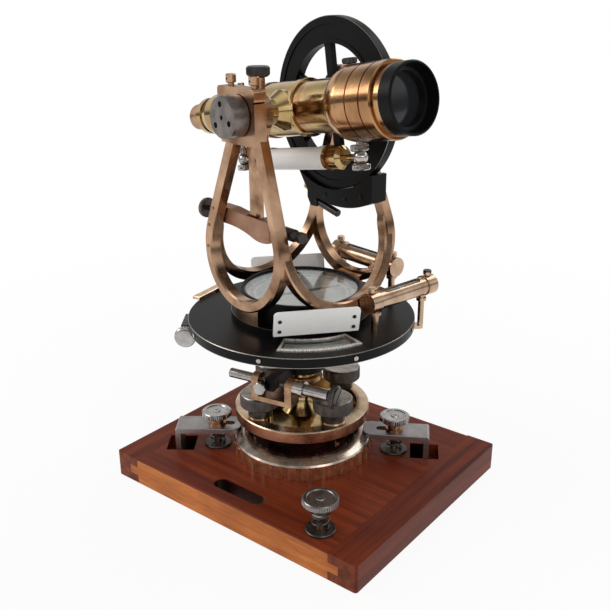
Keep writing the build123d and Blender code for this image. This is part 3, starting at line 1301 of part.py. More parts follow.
def telescope_tube():
    eye_bore = EYE_TUBE_RADIUS + RUNNING
    slide_bore = SLIDE_RADIUS + RUNNING
    with BuildPart() as tube:
        with BuildSketch(Plane.XZ):
            with BuildLine():
                rear = Polyline(
                    (CELL_END, slide_bore), (SLIDE_STOP, slide_bore), (SLIDE_STOP, TUBE_BORE),
                    (EYE_WALL, TUBE_BORE), (EYE_WALL, eye_bore), (TUBE_REAR, eye_bore),
                    (TUBE_REAR, REAR_RING_RADIUS - 0.8), (TUBE_REAR + 0.8, REAR_RING_RADIUS),
                    (TUBE_REAR + 6, REAR_RING_RADIUS), (TUBE_REAR + 6, REAR_RING_RADIUS - 1),
                    (-104, 17), (-84, 17), (-83, REAR_BARREL_RADIUS), (-64, REAR_BARREL_RADIUS), (-63, 17.2),
                    (-44, 17.2), (HUB_REAR - 3, TUBE_RADIUS), (BELL_START, TUBE_RADIUS),
                    (BELL_START, TUBE_RADIUS + 1.1), BELL_CURVE[0],
                )
                ThreePointArc(*BELL_CURVE)
                Polyline(
                    (BELL_END, BELL_RADIUS), (76.4, BELL_RADIUS), (76.4, BELL_RADIUS - 0.8),
                    (77.6, BELL_RADIUS - 0.8), (77.6, BELL_RADIUS), (89.4, BELL_RADIUS),
                    (89.4, BELL_RADIUS - 0.8), (90.6, BELL_RADIUS - 0.8), (90.6, BELL_RADIUS),
                    (CELL_END - CELL_CHAMFER, BELL_RADIUS), (CELL_END, BELL_RADIUS - CELL_CHAMFER), rear @ 0,
                )
            make_face()
        revolve(axis=Axis.X)
        with BuildSketch(Plane.XY.offset(SLIDE_RADIUS + 0.6)):
            with Locations((PINION_PLACE, 0)):
                Circle(5.2)
        extrude(amount=BELL_RADIUS - SLIDE_RADIUS - 0.6)
        with BuildSketch(Plane.XY.offset(TUBE_BORE)):
            with Locations((PINION_PLACE, 0)):
                Circle(TANGENT_SHAFT_RADIUS + RUNNING)
        extrude(amount=TUBE_BORE, mode=Mode.SUBTRACT)
        with Locations(*[Location((0, 0, 0), (turn, 0, 0)) for turn in (0, 90, 180, 270)]):
            with Locations((RETICLE_PLACE, 0, TUBE_BORE)):
                Cylinder(1.3, 8, mode=Mode.SUBTRACT)
    return tube


def reticle():
    """The cross-hair ring with its four capstan screws."""
    with BuildPart() as cross:
        add(turned([
            (RETICLE_PLACE - 3, 10), (RETICLE_PLACE - 3, TUBE_BORE - 1), (RETICLE_PLACE + 3, TUBE_BORE - 1),
            (RETICLE_PLACE + 3, 10),
        ], Axis.X).part)
        with Locations(*[Location((0, 0, 0), (turn, 0, 0)) for turn in (0, 90, 180, 270)]):
            with Locations((RETICLE_PLACE, 0, TUBE_BORE)):
                Cylinder(1.2, 6)
            with Locations((RETICLE_PLACE, 0, 18.4)):
                add(capstan_head(2.9, 5.5).part)
    return cross


def eyepiece():
    return turned([
        (EYE_END, 3), (EYE_END, EYE_CAP_RADIUS - 1), (EYE_END + 1, EYE_CAP_RADIUS),
        (TUBE_REAR - 4.7, EYE_CAP_RADIUS), (TUBE_REAR - 4.7, EYE_TUBE_RADIUS), (EYE_WALL + 4, EYE_TUBE_RADIUS),
        (EYE_WALL + 4, EYE_TUBE_RADIUS - 2), (EYE_END + 3, EYE_TUBE_RADIUS - 2), (EYE_END + 3, 3),
    ], Axis.X)


def trunnion_axle():
    """The sleeve on the telescope's tube with the two axle arms, one piece."""
    with BuildPart() as axle:
        with BuildSketch():
            with BuildLine():
                Polyline(
                    (0, -59.6), (JOURNAL_RADIUS, -59.6), (JOURNAL_RADIUS, -AXLE_SHOULDER), (AXLE_RADIUS, -AXLE_SHOULDER),
                    (AXLE_RADIUS, -28), (15, -19), (15, 19), (AXLE_RADIUS, 28), (AXLE_RADIUS, AXLE_SHOULDER),
                    (JOURNAL_RADIUS, AXLE_SHOULDER), (JOURNAL_RADIUS, 59.6), (0, 59.6), close=True
                )
            make_face()
        revolve(axis=Axis.Y)
        add(turned([
            (HUB_REAR, 0), (HUB_REAR, HUB_RADIUS - 0.8), (HUB_REAR + 0.8, HUB_RADIUS), (HUB_REAR + 5, HUB_RADIUS),
            (HUB_REAR + 5, HUB_RADIUS - 0.8), (HUB_FRONT - 5, HUB_RADIUS - 0.8), (HUB_FRONT - 5, HUB_RADIUS),
            (HUB_FRONT - 0.8, HUB_RADIUS), (HUB_FRONT, HUB_RADIUS - 0.8), (HUB_FRONT, 0),
        ], Axis.X).part)
        with BuildSketch(Plane.YZ.offset(HUB_REAR)):
            Circle(SLEEVE_BORE)
        extrude(amount=HUB_FRONT - HUB_REAR + 5, mode=Mode.SUBTRACT)
    return axle


def axle_end_discs():
    """A drilled disc on the near axle end and a plain nut on the far one."""
    inner = HEAD_OUTER + 0.2
    with BuildPart() as discs:
        with BuildSketch(Plane.XZ.offset(inner)):
            Circle(DISC_RADIUS)
        extrude(amount=DISC_END - inner)
        chamfer(discs.edges().filter_by(GeomType.CIRCLE), 0.8)
        with BuildSketch(Plane.XZ.offset(DISC_END - 3)):
            with Locations(*[polar(9.3, angle) for angle in (90, 210, 330)]):
                Circle(2.1)
            Circle(1.6)
        extrude(amount=3, mode=Mode.SUBTRACT)
        with BuildSketch(Plane.XZ.offset(-inner)):
            RegularPolygon(10, 6)
        extrude(amount=-5)
        with BuildSketch(Plane.XZ.offset(59.7)):
            Circle(JOURNAL_RADIUS + RUNNING)
        extrude(amount=-119.4, mode=Mode.SUBTRACT)
    return discs


def objective_slide():
    """The sliding tube that carries the objective, slotted for the pinion, with its rack inside."""
    with BuildPart() as slide:
        add(turned([
            (SLIDE_REAR, SLIDE_BORE), (SLIDE_REAR, SLIDE_RADIUS), (SLIDE_FRONT, SLIDE_RADIUS),
            (SLIDE_FRONT, SLIDE_BORE),
        ], Axis.X).part)
        with BuildSketch(Plane.XY.offset(SLIDE_BORE - 2)):
            with Locations(((SLIDE_REAR + PINION_PLACE + 5) / 2, 0)):
                Rectangle(PINION_PLACE + 5 - SLIDE_REAR, 8)
        extrude(amount=5, mode=Mode.SUBTRACT)
        rack_start, rack_end, web_start = 40.0, 96.0, 68.0
        with BuildSketch(Plane.XY.offset(11.5)):
            with Locations(((rack_start + rack_end) / 2, PINION_RADIUS + 1.4)):
                Rectangle(rack_end - rack_start, 2.4)
        extrude(amount=3.7)
        with BuildSketch(Plane.XY.offset(11.5)):
            with Locations(((web_start + rack_end) / 2, PINION_RADIUS + 1.4)):
                Rectangle(rack_end - web_start, 2.4)
        extrude(amount=SLIDE_BORE - 11.5)
    return slide


def objective_hood():
    return turned([
        (CELL_END + CLEAR, SLIDE_RADIUS + SEAT), (CELL_END + CLEAR, HOOD_RADIUS), (HOOD_END - 0.8, HOOD_RADIUS),
        (HOOD_END, HOOD_RADIUS - 0.8), (HOOD_END, HOOD_RADIUS - 1.8), (SLIDE_FRONT + CLEAR, HOOD_RADIUS - 2.4),
        (SLIDE_FRONT + CLEAR, SLIDE_RADIUS + SEAT),
    ], Axis.X)


def objective_lens():
    radius = SLIDE_BORE - SEAT
    with BuildPart() as lens:
        with BuildSketch(Plane.YZ.offset(LENS_BACK)):
            Circle(radius)
        extrude(amount=LENS_FRONT - LENS_BACK)
        with Locations((LENS_FRONT - LENS_CURVE, 0, 0)):
            Sphere(LENS_CURVE, mode=Mode.INTERSECT)
    return lens


def focus_pinion():
    """The pinion on its upright shaft, with a knurled head above the bell."""
    head = BELL_RADIUS + CLEAR
    return turned([
        (0, 11.6), (PINION_RADIUS, 11.6), (PINION_RADIUS, 15), (TANGENT_SHAFT_RADIUS, 15.4),
        (TANGENT_SHAFT_RADIUS, head), (4.6, head), (5, head + 0.5), (5, head + 3.4), (4.4, head + 4), (0, head + 4),
    ])


def vertical_circle():
    """A recessed rim with spokes and a hub on the axle."""
    groove = 0.8
    face, back = CIRCLE_FACE, CIRCLE_FACE + CIRCLE_THICKNESS
    spoke_face, spoke_back = face + 1.6, back - 1.6
    with BuildPart() as circle:
        with BuildSketch():
            with BuildLine():
                Polyline(
                    (CIRCLE_RIM_INNER, face), (CIRCLE_RIM_INNER + 3, face), (CIRCLE_RIM_INNER + 3, face + groove),
                    (CIRCLE_RADIUS - 6, face + groove), (CIRCLE_RADIUS - 6, face), (CIRCLE_RADIUS - 0.6, face),
                    (CIRCLE_RADIUS, face + 0.6), (CIRCLE_RADIUS, back - 0.6), (CIRCLE_RADIUS - 0.6, back),
                    (CIRCLE_RIM_INNER, back), close=True
                )
            make_face()
        revolve(axis=Axis.Y)
        with BuildSketch(Plane.XZ.offset(-spoke_face)):
            with PolarLocations(0, CIRCLE_SPOKES, start_angle=90):
                with Locations((CIRCLE_RIM_INNER / 2 + 1, 0)):
                    Rectangle(CIRCLE_RIM_INNER + 2, 7)
        extrude(amount=-(spoke_back - spoke_face))
        with BuildSketch(Plane.XZ.offset(-face)):
            Circle(17)
        extrude(amount=-CIRCLE_THICKNESS)
        with BuildSketch(Plane.XZ.offset(-face)):
            Circle(AXLE_RADIUS + RUNNING)
        extrude(amount=-CIRCLE_THICKNESS, mode=Mode.SUBTRACT)
    return circle


# Telescope level, hung under the tube

LEVEL_WALL = 2.0
LEVEL_VIAL_RADIUS = LEVEL_RADIUS - LEVEL_WALL - SEAT
POST_RADIUS = 2.4
POST_BALL_RADIUS = 5.4
POST_NUT_RADIUS = 6.6
POST_NUT_HEIGHT = 4.6


def telescope_level_tube():
    with BuildPart() as tube:
        add(turned([
            (LEVEL_REAR, LEVEL_RADIUS - LEVEL_WALL), (LEVEL_REAR, LEVEL_RADIUS), (LEVEL_FRONT, LEVEL_RADIUS),
            (LEVEL_FRONT, LEVEL_RADIUS - LEVEL_WALL),
        ], Axis.X).part)
        with BuildSketch(Plane.XY):
            with Locations(((LEVEL_REAR + LEVEL_FRONT) / 2, 0)):
                SlotOverall(LEVEL_FRONT - LEVEL_REAR - 16, 8)
        extrude(amount=LEVEL_RADIUS, mode=Mode.SUBTRACT)
    return tube


def telescope_level_vial():
    with BuildPart() as vial:
        with BuildSketch(Plane.YZ.offset(LEVEL_REAR + CLEAR)):
            Circle(LEVEL_VIAL_RADIUS)
        extrude(amount=LEVEL_FRONT - LEVEL_REAR - 2 * CLEAR)
        fillet(vial.edges(), 2)
    return vial


def post_nut():
    """A capstan nut with rounded edges and four pin holes, standing on the origin."""
    edge = 0.7
    with BuildPart() as nut:
        add(turned([
            (0, 0), (POST_NUT_RADIUS - edge, 0), (POST_NUT_RADIUS, edge), (POST_NUT_RADIUS, POST_NUT_HEIGHT - edge),
            (POST_NUT_RADIUS - edge, POST_NUT_HEIGHT), (0, POST_NUT_HEIGHT),
        ]).part)
        for turn in (20, 110, 200, 290):
            with BuildSketch(Plane.YZ.rotated((0, 0, turn)).offset(POST_NUT_RADIUS - 2.6)):
                with Locations((0, POST_NUT_HEIGHT / 2)):
                    Circle(1.1)
            extrude(amount=4, mode=Mode.SUBTRACT)
    return nut


def telescope_level_ends():
    """Brass end pieces with their studs, and the two posts under the telescope."""
    front_stud = LEVEL_POST_FRONT
    rear_stud = LEVEL_POST_REAR
    front = turned([
        (LEVEL_FRONT, 0), (LEVEL_FRONT, LEVEL_RADIUS + 0.5), (LEVEL_FRONT + 3, LEVEL_RADIUS + 0.5),
        (LEVEL_FRONT + 3, LEVEL_RADIUS - 0.4), (LEVEL_FRONT + 5, LEVEL_RADIUS - 0.4),
        (LEVEL_FRONT + 5, LEVEL_RADIUS), (LEVEL_FRONT + LEVEL_END_LENGTH - 3, LEVEL_RADIUS),
        (LEVEL_FRONT + LEVEL_END_LENGTH, LEVEL_RADIUS - 3), (LEVEL_FRONT + LEVEL_END_LENGTH, POST_RADIUS),
        (front_stud, POST_RADIUS), (front_stud, 0),
    ], Axis.X)
    rear = turned([
        (LEVEL_REAR, 0), (LEVEL_REAR, LEVEL_RADIUS + 0.5), (LEVEL_REAR - 3, LEVEL_RADIUS + 0.5),
        (LEVEL_REAR - 3, LEVEL_RADIUS), (LEVEL_REAR - LEVEL_END_LENGTH + 3, LEVEL_RADIUS),
        (LEVEL_REAR - LEVEL_END_LENGTH, LEVEL_RADIUS - 3), (LEVEL_REAR - LEVEL_END_LENGTH, POST_RADIUS),
        (rear_stud, POST_RADIUS), (rear_stud, 0),
    ], Axis.X)
    with BuildPart() as ends:
        with Locations((0, 0, -LEVEL_DROP)):
            add(front.part)
            add(rear.part)
        with Locations((front_stud, 0, -LEVEL_DROP), (rear_stud, 0, -LEVEL_DROP)):
            Sphere(POST_BALL_RADIUS)
        for place, top in ((front_stud, TUBE_RADIUS), (rear_stud, REAR_BARREL_RADIUS - 1)):
            with BuildSketch(Plane.XY.offset(-LEVEL_DROP - 6)):
                with Locations((place, 0)):
                    Circle(POST_RADIUS)
            extrude(amount=LEVEL_DROP + 6 - top)
            for nut in (-LEVEL_DROP + POST_BALL_RADIUS - 1, -LEVEL_DROP - POST_BALL_RADIUS + 1 - POST_NUT_HEIGHT):
                with Locations((place, 0, nut)):
                    add(post_nut().part)
        with BuildSketch(Plane.XZ):
            with BuildLine():
                bell = ThreePointArc(*BELL_CURVE)
                Polyline(bell @ 1, (BELL_END, 0), (BELL_START + 1.6, 0), bell @ 0)
            make_face()
        revolve(axis=Axis.X, mode=Mode.SUBTRACT)
        with BuildSketch(Plane.YZ.offset(rear_stud - 5)):
            Circle(REAR_BARREL_RADIUS)
        extrude(amount=10, mode=Mode.SUBTRACT)
    return ends


UNDER_TELESCOPE = TELESCOPE * Location((0, 0, -LEVEL_DROP))
hand_over(telescope_tube(), "telescope_tube", TELESCOPE)
hand_over(reticle(), "reticle", TELESCOPE)
hand_over(eyepiece(), "eyepiece", TELESCOPE)
hand_over(trunnion_axle(), "trunnion_axle", TELESCOPE)
hand_over(axle_end_discs(), "axle_end_discs", TELESCOPE)
hand_over(objective_slide(), "objective_slide", TELESCOPE)
hand_over(objective_hood(), "objective_hood", TELESCOPE)
hand_over(objective_lens(), "objective_lens", TELESCOPE)
hand_over(focus_pinion(), "focus_pinion", TELESCOPE * Location((PINION_PLACE, 0, 0)))
hand_over(vertical_circle(), "vertical_circle", TELESCOPE)
hand_over(telescope_level_tube(), "telescope_level_tube", UNDER_TELESCOPE)
hand_over(telescope_level_vial(), "telescope_level_vial", UNDER_TELESCOPE)
hand_over(telescope_level_ends(), "telescope_level_ends", TELESCOPE)
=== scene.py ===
import math
import bpy
from mathutils import Euler, Matrix, Vector


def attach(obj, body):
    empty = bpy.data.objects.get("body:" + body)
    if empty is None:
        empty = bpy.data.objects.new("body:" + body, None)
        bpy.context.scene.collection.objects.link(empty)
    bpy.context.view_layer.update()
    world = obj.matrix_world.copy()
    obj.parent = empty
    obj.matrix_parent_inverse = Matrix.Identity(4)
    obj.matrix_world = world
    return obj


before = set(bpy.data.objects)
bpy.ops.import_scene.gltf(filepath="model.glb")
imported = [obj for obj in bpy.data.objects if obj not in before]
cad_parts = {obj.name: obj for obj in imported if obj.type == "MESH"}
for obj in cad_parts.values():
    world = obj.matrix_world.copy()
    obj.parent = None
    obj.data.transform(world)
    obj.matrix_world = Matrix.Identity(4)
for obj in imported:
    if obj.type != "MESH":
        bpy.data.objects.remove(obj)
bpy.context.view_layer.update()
MM = 0.001

# The three frames that the pieces are drawn in: the board's, the plate's and the telescope's

PLATE_TURN = math.radians(-11.1)
TELESCOPE_TILT = math.radians(-8.8)
AXLE_HEIGHT = 309.5 * MM
BOARD_FRAME = Matrix.Identity(4)
PLATE_FRAME = Matrix.Rotation(PLATE_TURN, 4, "Z")
LOWER_FRAME = Matrix.Rotation(math.radians(10), 4, "Z")
UPPER_FRAME = Matrix.Rotation(math.radians(-53), 4, "Z")
TELESCOPE_FRAME = (
    PLATE_FRAME @ Matrix.Translation((0, 0, AXLE_HEIGHT)) @ Matrix.Rotation(TELESCOPE_TILT, 4, "Y")
)


# Materials

def linear(hex_value):
    """One sRGB hex value as the linear colour that the shader takes."""
    channels = [int(hex_value[k:k + 2], 16) / 255 for k in (1, 3, 5)]
    return [c / 12.92 if c <= 0.04045 else ((c + 0.055) / 1.055) ** 2.4 for c in channels] + [1]


def add_node(tree, kind, links=(), **settings):
    """Adds one node with its settings; links give each input a socket or a plain value."""
    node = tree.nodes.new(kind)
    for setting, value in settings.items():
        setattr(node, setting, value)
    for place, value in dict(links).items():
        if isinstance(value, bpy.types.NodeSocket):
            tree.links.new(value, node.inputs[place])
        else:
            node.inputs[place].default_value = value
    return node


def new_material(name, roughness, metallic=0.0):
    material = bpy.data.materials.new(name)
    material.use_nodes = True
    tree = material.node_tree
    tree.nodes.clear()
    shader = add_node(tree, "ShaderNodeBsdfPrincipled", {"Roughness": roughness, "Metallic": metallic})
    add_node(tree, "ShaderNodeOutputMaterial", {"Surface": shader.outputs[0]})
    return material, tree, shader


def place_in(tree, place):
    """X, Y, Z and the distance from Z, in millimetres, in one of the frames."""
    location, rotation, _ = place.decompose()
    coordinates = add_node(tree, "ShaderNodeTexCoord")
    local = add_node(tree, "ShaderNodeMapping", {
        "Vector": coordinates.outputs["Object"], "Location": location, "Rotation": rotation.to_euler(),
        "Scale": (MM, MM, MM),
    }, vector_type="TEXTURE")
    axes = add_node(tree, "ShaderNodeSeparateXYZ", {0: local.outputs[0]})
    flat = add_node(tree, "ShaderNodeVectorMath", {0: local.outputs[0], 1: (1, 1, 0)}, operation="MULTIPLY")
    radius = add_node(tree, "ShaderNodeVectorMath", {0: flat.outputs[0]}, operation="LENGTH")
    across = add_node(tree, "ShaderNodeVectorMath", {0: local.outputs[0], 1: (0, 1, 1)}, operation="MULTIPLY")
    girth = add_node(tree, "ShaderNodeVectorMath", {0: across.outputs[0]}, operation="LENGTH")
    wheel = add_node(tree, "ShaderNodeVectorMath", {0: local.outputs[0], 1: (1, 0, 1)}, operation="MULTIPLY")
    wheel_radius = add_node(tree, "ShaderNodeVectorMath", {0: wheel.outputs[0]}, operation="LENGTH")
    return {
        "at": local.outputs[0], "x": axes.outputs[0], "y": axes.outputs[1], "z": axes.outputs[2],
        "r": radius.outputs["Value"], "girth": girth.outputs["Value"], "wheel": wheel_radius.outputs["Value"],
    }


def between(tree, value, low, high):
    """One where a value lies between low and high, and nothing elsewhere."""
    middle, half = (low + high) / 2, (high - low) / 2
    return add_node(tree, "ShaderNodeMath", {0: value, 1: middle, 2: half}, operation="COMPARE").outputs[0]


def blend_colours(tree, factor, first, second):
    mixed = add_node(tree, "ShaderNodeMix", {0: factor, 6: first, 7: second}, data_type="RGBA")
    return mixed.outputs[2]


def blend_values(tree, factor, first, second):
    mixed = add_node(tree, "ShaderNodeMix", {0: factor, 2: first, 3: second}, data_type="FLOAT")
    return mixed.outputs[0]


# Each finish: bright colour, deep colour, metallic, roughness. The two colours are what tarnish and
# lacquer make of one metal, and the eye reads the drift between them as age.
FINISHES = {
    # Turned and buffed in the lathe: clear reflections, greenish yellow
    "polished brass": ("#d3b681", "#8d7048", 1.0, 0.14),
    # The same under a lacquer gone red
    "rose brass": ("#c99d71", "#8f6441", 1.0, 0.15),
    # Cast, filed and buffed: soft reflections, pinkish brown
    "casting bronze": ("#cba688", "#76563f", 1.0, 0.2),
    # Emery finish: pale, with blurred lights
    "satin brass": ("#e0c6a6", "#b3957a", 1.0, 0.24),
    "level brass": ("#d9bda2", "#a58770", 1.0, 0.22),
    "window brass": ("#efe9e0", "#c8beb2", 0.7, 0.26),
    # Cast and left duller
    "bronze": ("#c39c7c", "#7f5f47", 1.0, 0.3),
    "matte bronze": ("#b58f78", "#8c6650", 1.0, 0.46),
    "copper": ("#b87a50", "#7c4a28", 1.0, 0.22),
    "scallop bronze": ("#e8ab80", "#b0714a", 0.85, 0.3),
    # Pale brass on the foot's ridges: a painted highlight for the bright streaks they catch
    "ridge highlight brass": ("#f4e2c8", "#d9bd98", 1.0, 0.22),
    "turned cone": ("#dcd0c4", "#97887c", 0.82, 0.2),
    # Plated: bright grey, dulled where hands have worn it
    "nickel": ("#c2bebb", "#8f8b88", 1.0, 0.15),
    "cast nickel": ("#bfb9b6", "#868080", 1.0, 0.34),
    "dulled nickel": ("#a09996", "#6a6461", 1.0, 0.3),
    "faced steel": ("#8f8783", "#605a56", 0.95, 0.3),
    # Steels: grey to nearly black with oil
    "dark steel": ("#6a6561", "#35312e", 0.9, 0.36),
    "milled steel": ("#645e5b", "#46413f", 0.95, 0.34),
    "gunmetal": ("#55504e", "#2e2b2a", 0.9, 0.34),
    # The drum in the gap under the dish: polished, and painted nearly black partly as the shade in that gap
    "drum dark with shade": ("#4a403b", "#1f1a18", 1.0, 0.14),
    # Stoved black: deep, with a weak sheen
    "black lacquer": ("#0f0e0e", "#080707", 0.0, 0.36),
    "worn edge": ("#b9b2a8", "#7d766d", 1.0, 0.3),
    "dull copper": ("#b57e62", "#7d4c36", 1.0, 0.3),
}


RINGS_PER_MM = 1.6


def metal_finish(name, base, zones=(), place=BOARD_FRAME, patch=14.0, grain=0.9, bump=0.05, turned=None):
    """A metal whose tone drifts over patch millimetres, with other finishes in stated bands.

    Each zone is a finish and the bands that it lies in, as axis, low and high in millimetres.
    Grain is the size in millimetres of the marks that emery leaves. Turned names the two measures
    along which the lathe's rings are cut, drawn 0.6 mm apart so that they show.
    """
    material, tree, shader = new_material(name, FINISHES[base][3])
    where = place_in(tree, place)
    drift = add_node(tree, "ShaderNodeTexNoise", {"Vector": where["at"], "Scale": 1 / patch, "Detail": 3})
    tone = add_node(tree, "ShaderNodeMapRange", {0: drift.outputs[0], 1: 0.26, 2: 0.74})
    fine = add_node(tree, "ShaderNodeTexNoise", {"Vector": where["at"], "Scale": 1 / grain, "Detail": 2})

    def tones(finish):
        bright, deep, metallic, roughness = FINISHES[finish]
        return blend_colours(tree, tone.outputs[0], linear(deep), linear(bright)), metallic, roughness

    colour, metallic, roughness = tones(base)
    for finish, *bands in zones:
        mask = None
        for axis, low, high in bands:
            inside = between(tree, where[axis], low, high)
            if mask is None:
                mask = inside
            else:
                both = add_node(tree, "ShaderNodeMath", {0: mask, 1: inside}, operation="MULTIPLY")
                mask = both.outputs[0]
        zone_colour, zone_metallic, zone_roughness = tones(finish)
        colour = blend_colours(tree, mask, colour, zone_colour)
        metallic = blend_values(tree, mask, metallic, zone_metallic)
        roughness = blend_values(tree, mask, roughness, zone_roughness)
    tree.links.new(colour, shader.inputs["Base Color"])
    if isinstance(metallic, bpy.types.NodeSocket):
        tree.links.new(metallic, shader.inputs["Metallic"])
    else:
        shader.inputs["Metallic"].default_value = metallic
    smudge = add_node(tree, "ShaderNodeMapRange", {
        0: fine.outputs[0], 1: 0.3, 2: 0.7, 3: -0.05, 4: 0.07,
    })
    uneven = add_node(tree, "ShaderNodeMath", {0: smudge.outputs[0], 1: roughness}, operation="ADD")
    tree.links.new(uneven.outputs[0], shader.inputs["Roughness"])
    if base == "black lacquer":
        shader.inputs["Specular IOR Level"].default_value = 0.13
    if turned:
        section = add_node(tree, "ShaderNodeCombineXYZ", {0: where[turned[0]], 1: where[turned[1]]})
        fine = add_node(tree, "ShaderNodeTexNoise", {
            "Vector": section.outputs[0], "Scale": RINGS_PER_MM, "Detail": 2,
        })
    if bump:
        relief = add_node(tree, "ShaderNodeBump", {
            "Height": fine.outputs[0], "Strength": bump, "Distance": 0.3 * MM,
        })
        tree.links.new(relief.outputs[0], shader.inputs["Normal"])
    return material


def mahogany(name, light, dark, grain_axis, edge=None, shaded_pockets=()):
    """Varnished mahogany: soft streaks some 6 mm wide, dark pores 0.5 mm wide and a thin satin coat.

    The grain is stretched 30 times along its axis. The pockets cut into the board are painted dark below its
    top, as painted shade inside them.
    """
    material, tree, shader = new_material(name, 0.42)
    where = place_in(tree, BOARD_FRAME)
    stretch = (0.035, 1, 1) if grain_axis == "x" else (1, 0.035, 1)
    along = add_node(tree, "ShaderNodeVectorMath", {0: where["at"], 1: stretch}, operation="MULTIPLY")
    streaks = add_node(tree, "ShaderNodeTexNoise", {
        "Vector": along.outputs[0], "Scale": 0.16, "Detail": 6, "Roughness": 0.62,
    })
    pores = add_node(tree, "ShaderNodeTexNoise", {"Vector": along.outputs[0], "Scale": 2.2, "Detail": 2})
    clouds = add_node(tree, "ShaderNodeTexNoise", {"Vector": where["at"], "Scale": 0.02, "Detail": 2})
    ramp = add_node(tree, "ShaderNodeMapRange", {0: streaks.outputs[0], 1: 0.33, 2: 0.68})
    colour = blend_colours(tree, ramp.outputs[0], linear(dark), linear(light))
    if edge:
        face = between(tree, where["y"], -107.5, -105.9)
        raw = blend_colours(tree, ramp.outputs[0], linear(edge[1]), linear(edge[0]))
        colour = blend_colours(tree, face, colour, raw)
    pore_mask = add_node(tree, "ShaderNodeMapRange", {
        0: pores.outputs[0], 1: 0.56, 2: 0.72, 3: 0, 4: 0.55,
    })
    colour = blend_colours(tree, pore_mask.outputs[0], colour, linear("#3a160c"))
    # Painted shade: below the top, each pocket's walls are darkened to near black for the shade inside it
    for low_x, high_x, low_y, high_y in shaded_pockets:
        inside = add_node(tree, "ShaderNodeMath", {
            0: between(tree, where["x"], low_x, high_x), 1: between(tree, where["y"], low_y, high_y),
        }, operation="MULTIPLY")
        below_top = between(tree, where["z"], 0.5, 21.6)
        deep = add_node(tree, "ShaderNodeMath", {0: inside.outputs[0], 1: below_top}, operation="MULTIPLY")
        colour = blend_colours(tree, deep.outputs[0], colour, linear("#1d0c07"))
    cloud_mask = add_node(tree, "ShaderNodeMapRange", {
        0: clouds.outputs[0], 1: 0.4, 2: 0.65, 3: 0, 4: 0.35,
    })
    colour = blend_colours(tree, cloud_mask.outputs[0], colour, linear(dark))
    tree.links.new(colour, shader.inputs["Base Color"])
    relief = add_node(tree, "ShaderNodeBump", {
        "Height": pores.outputs[0], "Strength": 0.12, "Distance": 0.3 * MM,
    })
    tree.links.new(relief.outputs[0], shader.inputs["Normal"])
    shader.inputs["Specular IOR Level"].default_value = 0.12
    shader.inputs["Coat Weight"].default_value = 0.04
    shader.inputs["Coat Roughness"].default_value = 0.2
    return material


def painted(name, colour, roughness, speck=0.03, black_below=None):
    """Brushed enamel: one colour with faint clouds 8 mm wide, so that it isn't dead flat."""
    material, tree, shader = new_material(name, roughness)
    where = place_in(tree, BOARD_FRAME)
    clouds = add_node(tree, "ShaderNodeTexNoise", {"Vector": where["at"], "Scale": 0.12, "Detail": 4})
    dull = [c * (1 - 4 * speck) for c in linear(colour)[:3]] + [1]
    tone = blend_colours(tree, clouds.outputs[0], dull, linear(colour))
    if black_below:
        low = add_node(tree, "ShaderNodeMath", {0: where["z"], 1: black_below}, operation="LESS_THAN")
        tone = blend_colours(tree, low.outputs[0], tone, linear("#100f0f"))
    tree.links.new(tone, shader.inputs["Base Color"])
    relief = add_node(tree, "ShaderNodeBump", {
        "Height": clouds.outputs[0], "Strength": 0.08, "Distance": 0.4 * MM,
    })
    tree.links.new(relief.outputs[0], shader.inputs["Normal"])
    return material


def clear_glass(name, tint, transmission, roughness=0.03):
    """Polished glass with a trace of dust; a lower transmission stands for a filled or backed piece, and on
    the lens a dark tint stands for painted shade behind the glass.
    """
    material, tree, shader = new_material(name, roughness)
    where = place_in(tree, BOARD_FRAME)
    dust = add_node(tree, "ShaderNodeTexNoise", {"Vector": where["at"], "Scale": 0.3, "Detail": 3})
    haze = add_node(tree, "ShaderNodeMapRange", {
        0: dust.outputs[0], 1: 0.4, 2: 0.75, 3: roughness, 4: roughness + 0.05,
    })
    tree.links.new(haze.outputs[0], shader.inputs["Roughness"])
    shader.inputs["Base Color"].default_value = linear(tint)
    shader.inputs["Transmission Weight"].default_value = transmission
    shader.inputs["IOR"].default_value = 1.46
    return material


SILVER, TARNISH, ENGRAVING = "#dddad4", "#bcb7b0", "#2a2826"


def graduated(name, place, ring, count, long_every):
    """Silvered metal engraved with radial marks, every long_every one longer and wider.

    Ring holds the inner radius of the short marks and of the long ones, the half width of a
    mark and the outer radius, in millimetres.
    """
    material, tree, shader = new_material(name, 0.36, 0.35)
    short_inner, long_inner, half_width, outer = ring
    where = place_in(tree, place)
    drift = add_node(tree, "ShaderNodeTexNoise", {"Vector": where["at"], "Scale": 0.08, "Detail": 3})
    colour = blend_colours(tree, drift.outputs[0], linear(TARNISH), linear(SILVER))
    angle = add_node(tree, "ShaderNodeMath", {0: where["y"], 1: where["x"]}, operation="ARCTAN2")
    short_marks = (count, short_inner, half_width)
    long_marks = (count // long_every, long_inner, half_width * 1.5)
    for copies, inner, half in (short_marks, long_marks):
        per_radian = copies / math.tau
        turns = add_node(tree, "ShaderNodeMath", {0: angle.outputs[0], 1: per_radian}, operation="MULTIPLY")
        saw = add_node(tree, "ShaderNodeMath", {0: turns.outputs[0], 1: 0.5}, operation="PINGPONG")
        reach = add_node(tree, "ShaderNodeMath", {0: saw.outputs[0], 1: where["r"]}, operation="MULTIPLY")
        limit = half * per_radian
        line = add_node(tree, "ShaderNodeMath", {0: reach.outputs[0], 1: limit}, operation="LESS_THAN")
        band = between(tree, where["r"], inner, outer)
        mark_mask = add_node(tree, "ShaderNodeMath", {0: line.outputs[0], 1: band}, operation="MULTIPLY")
        colour = blend_colours(tree, mark_mask.outputs[0], colour, linear(ENGRAVING))
    tree.links.new(colour, shader.inputs["Base Color"])
    return material


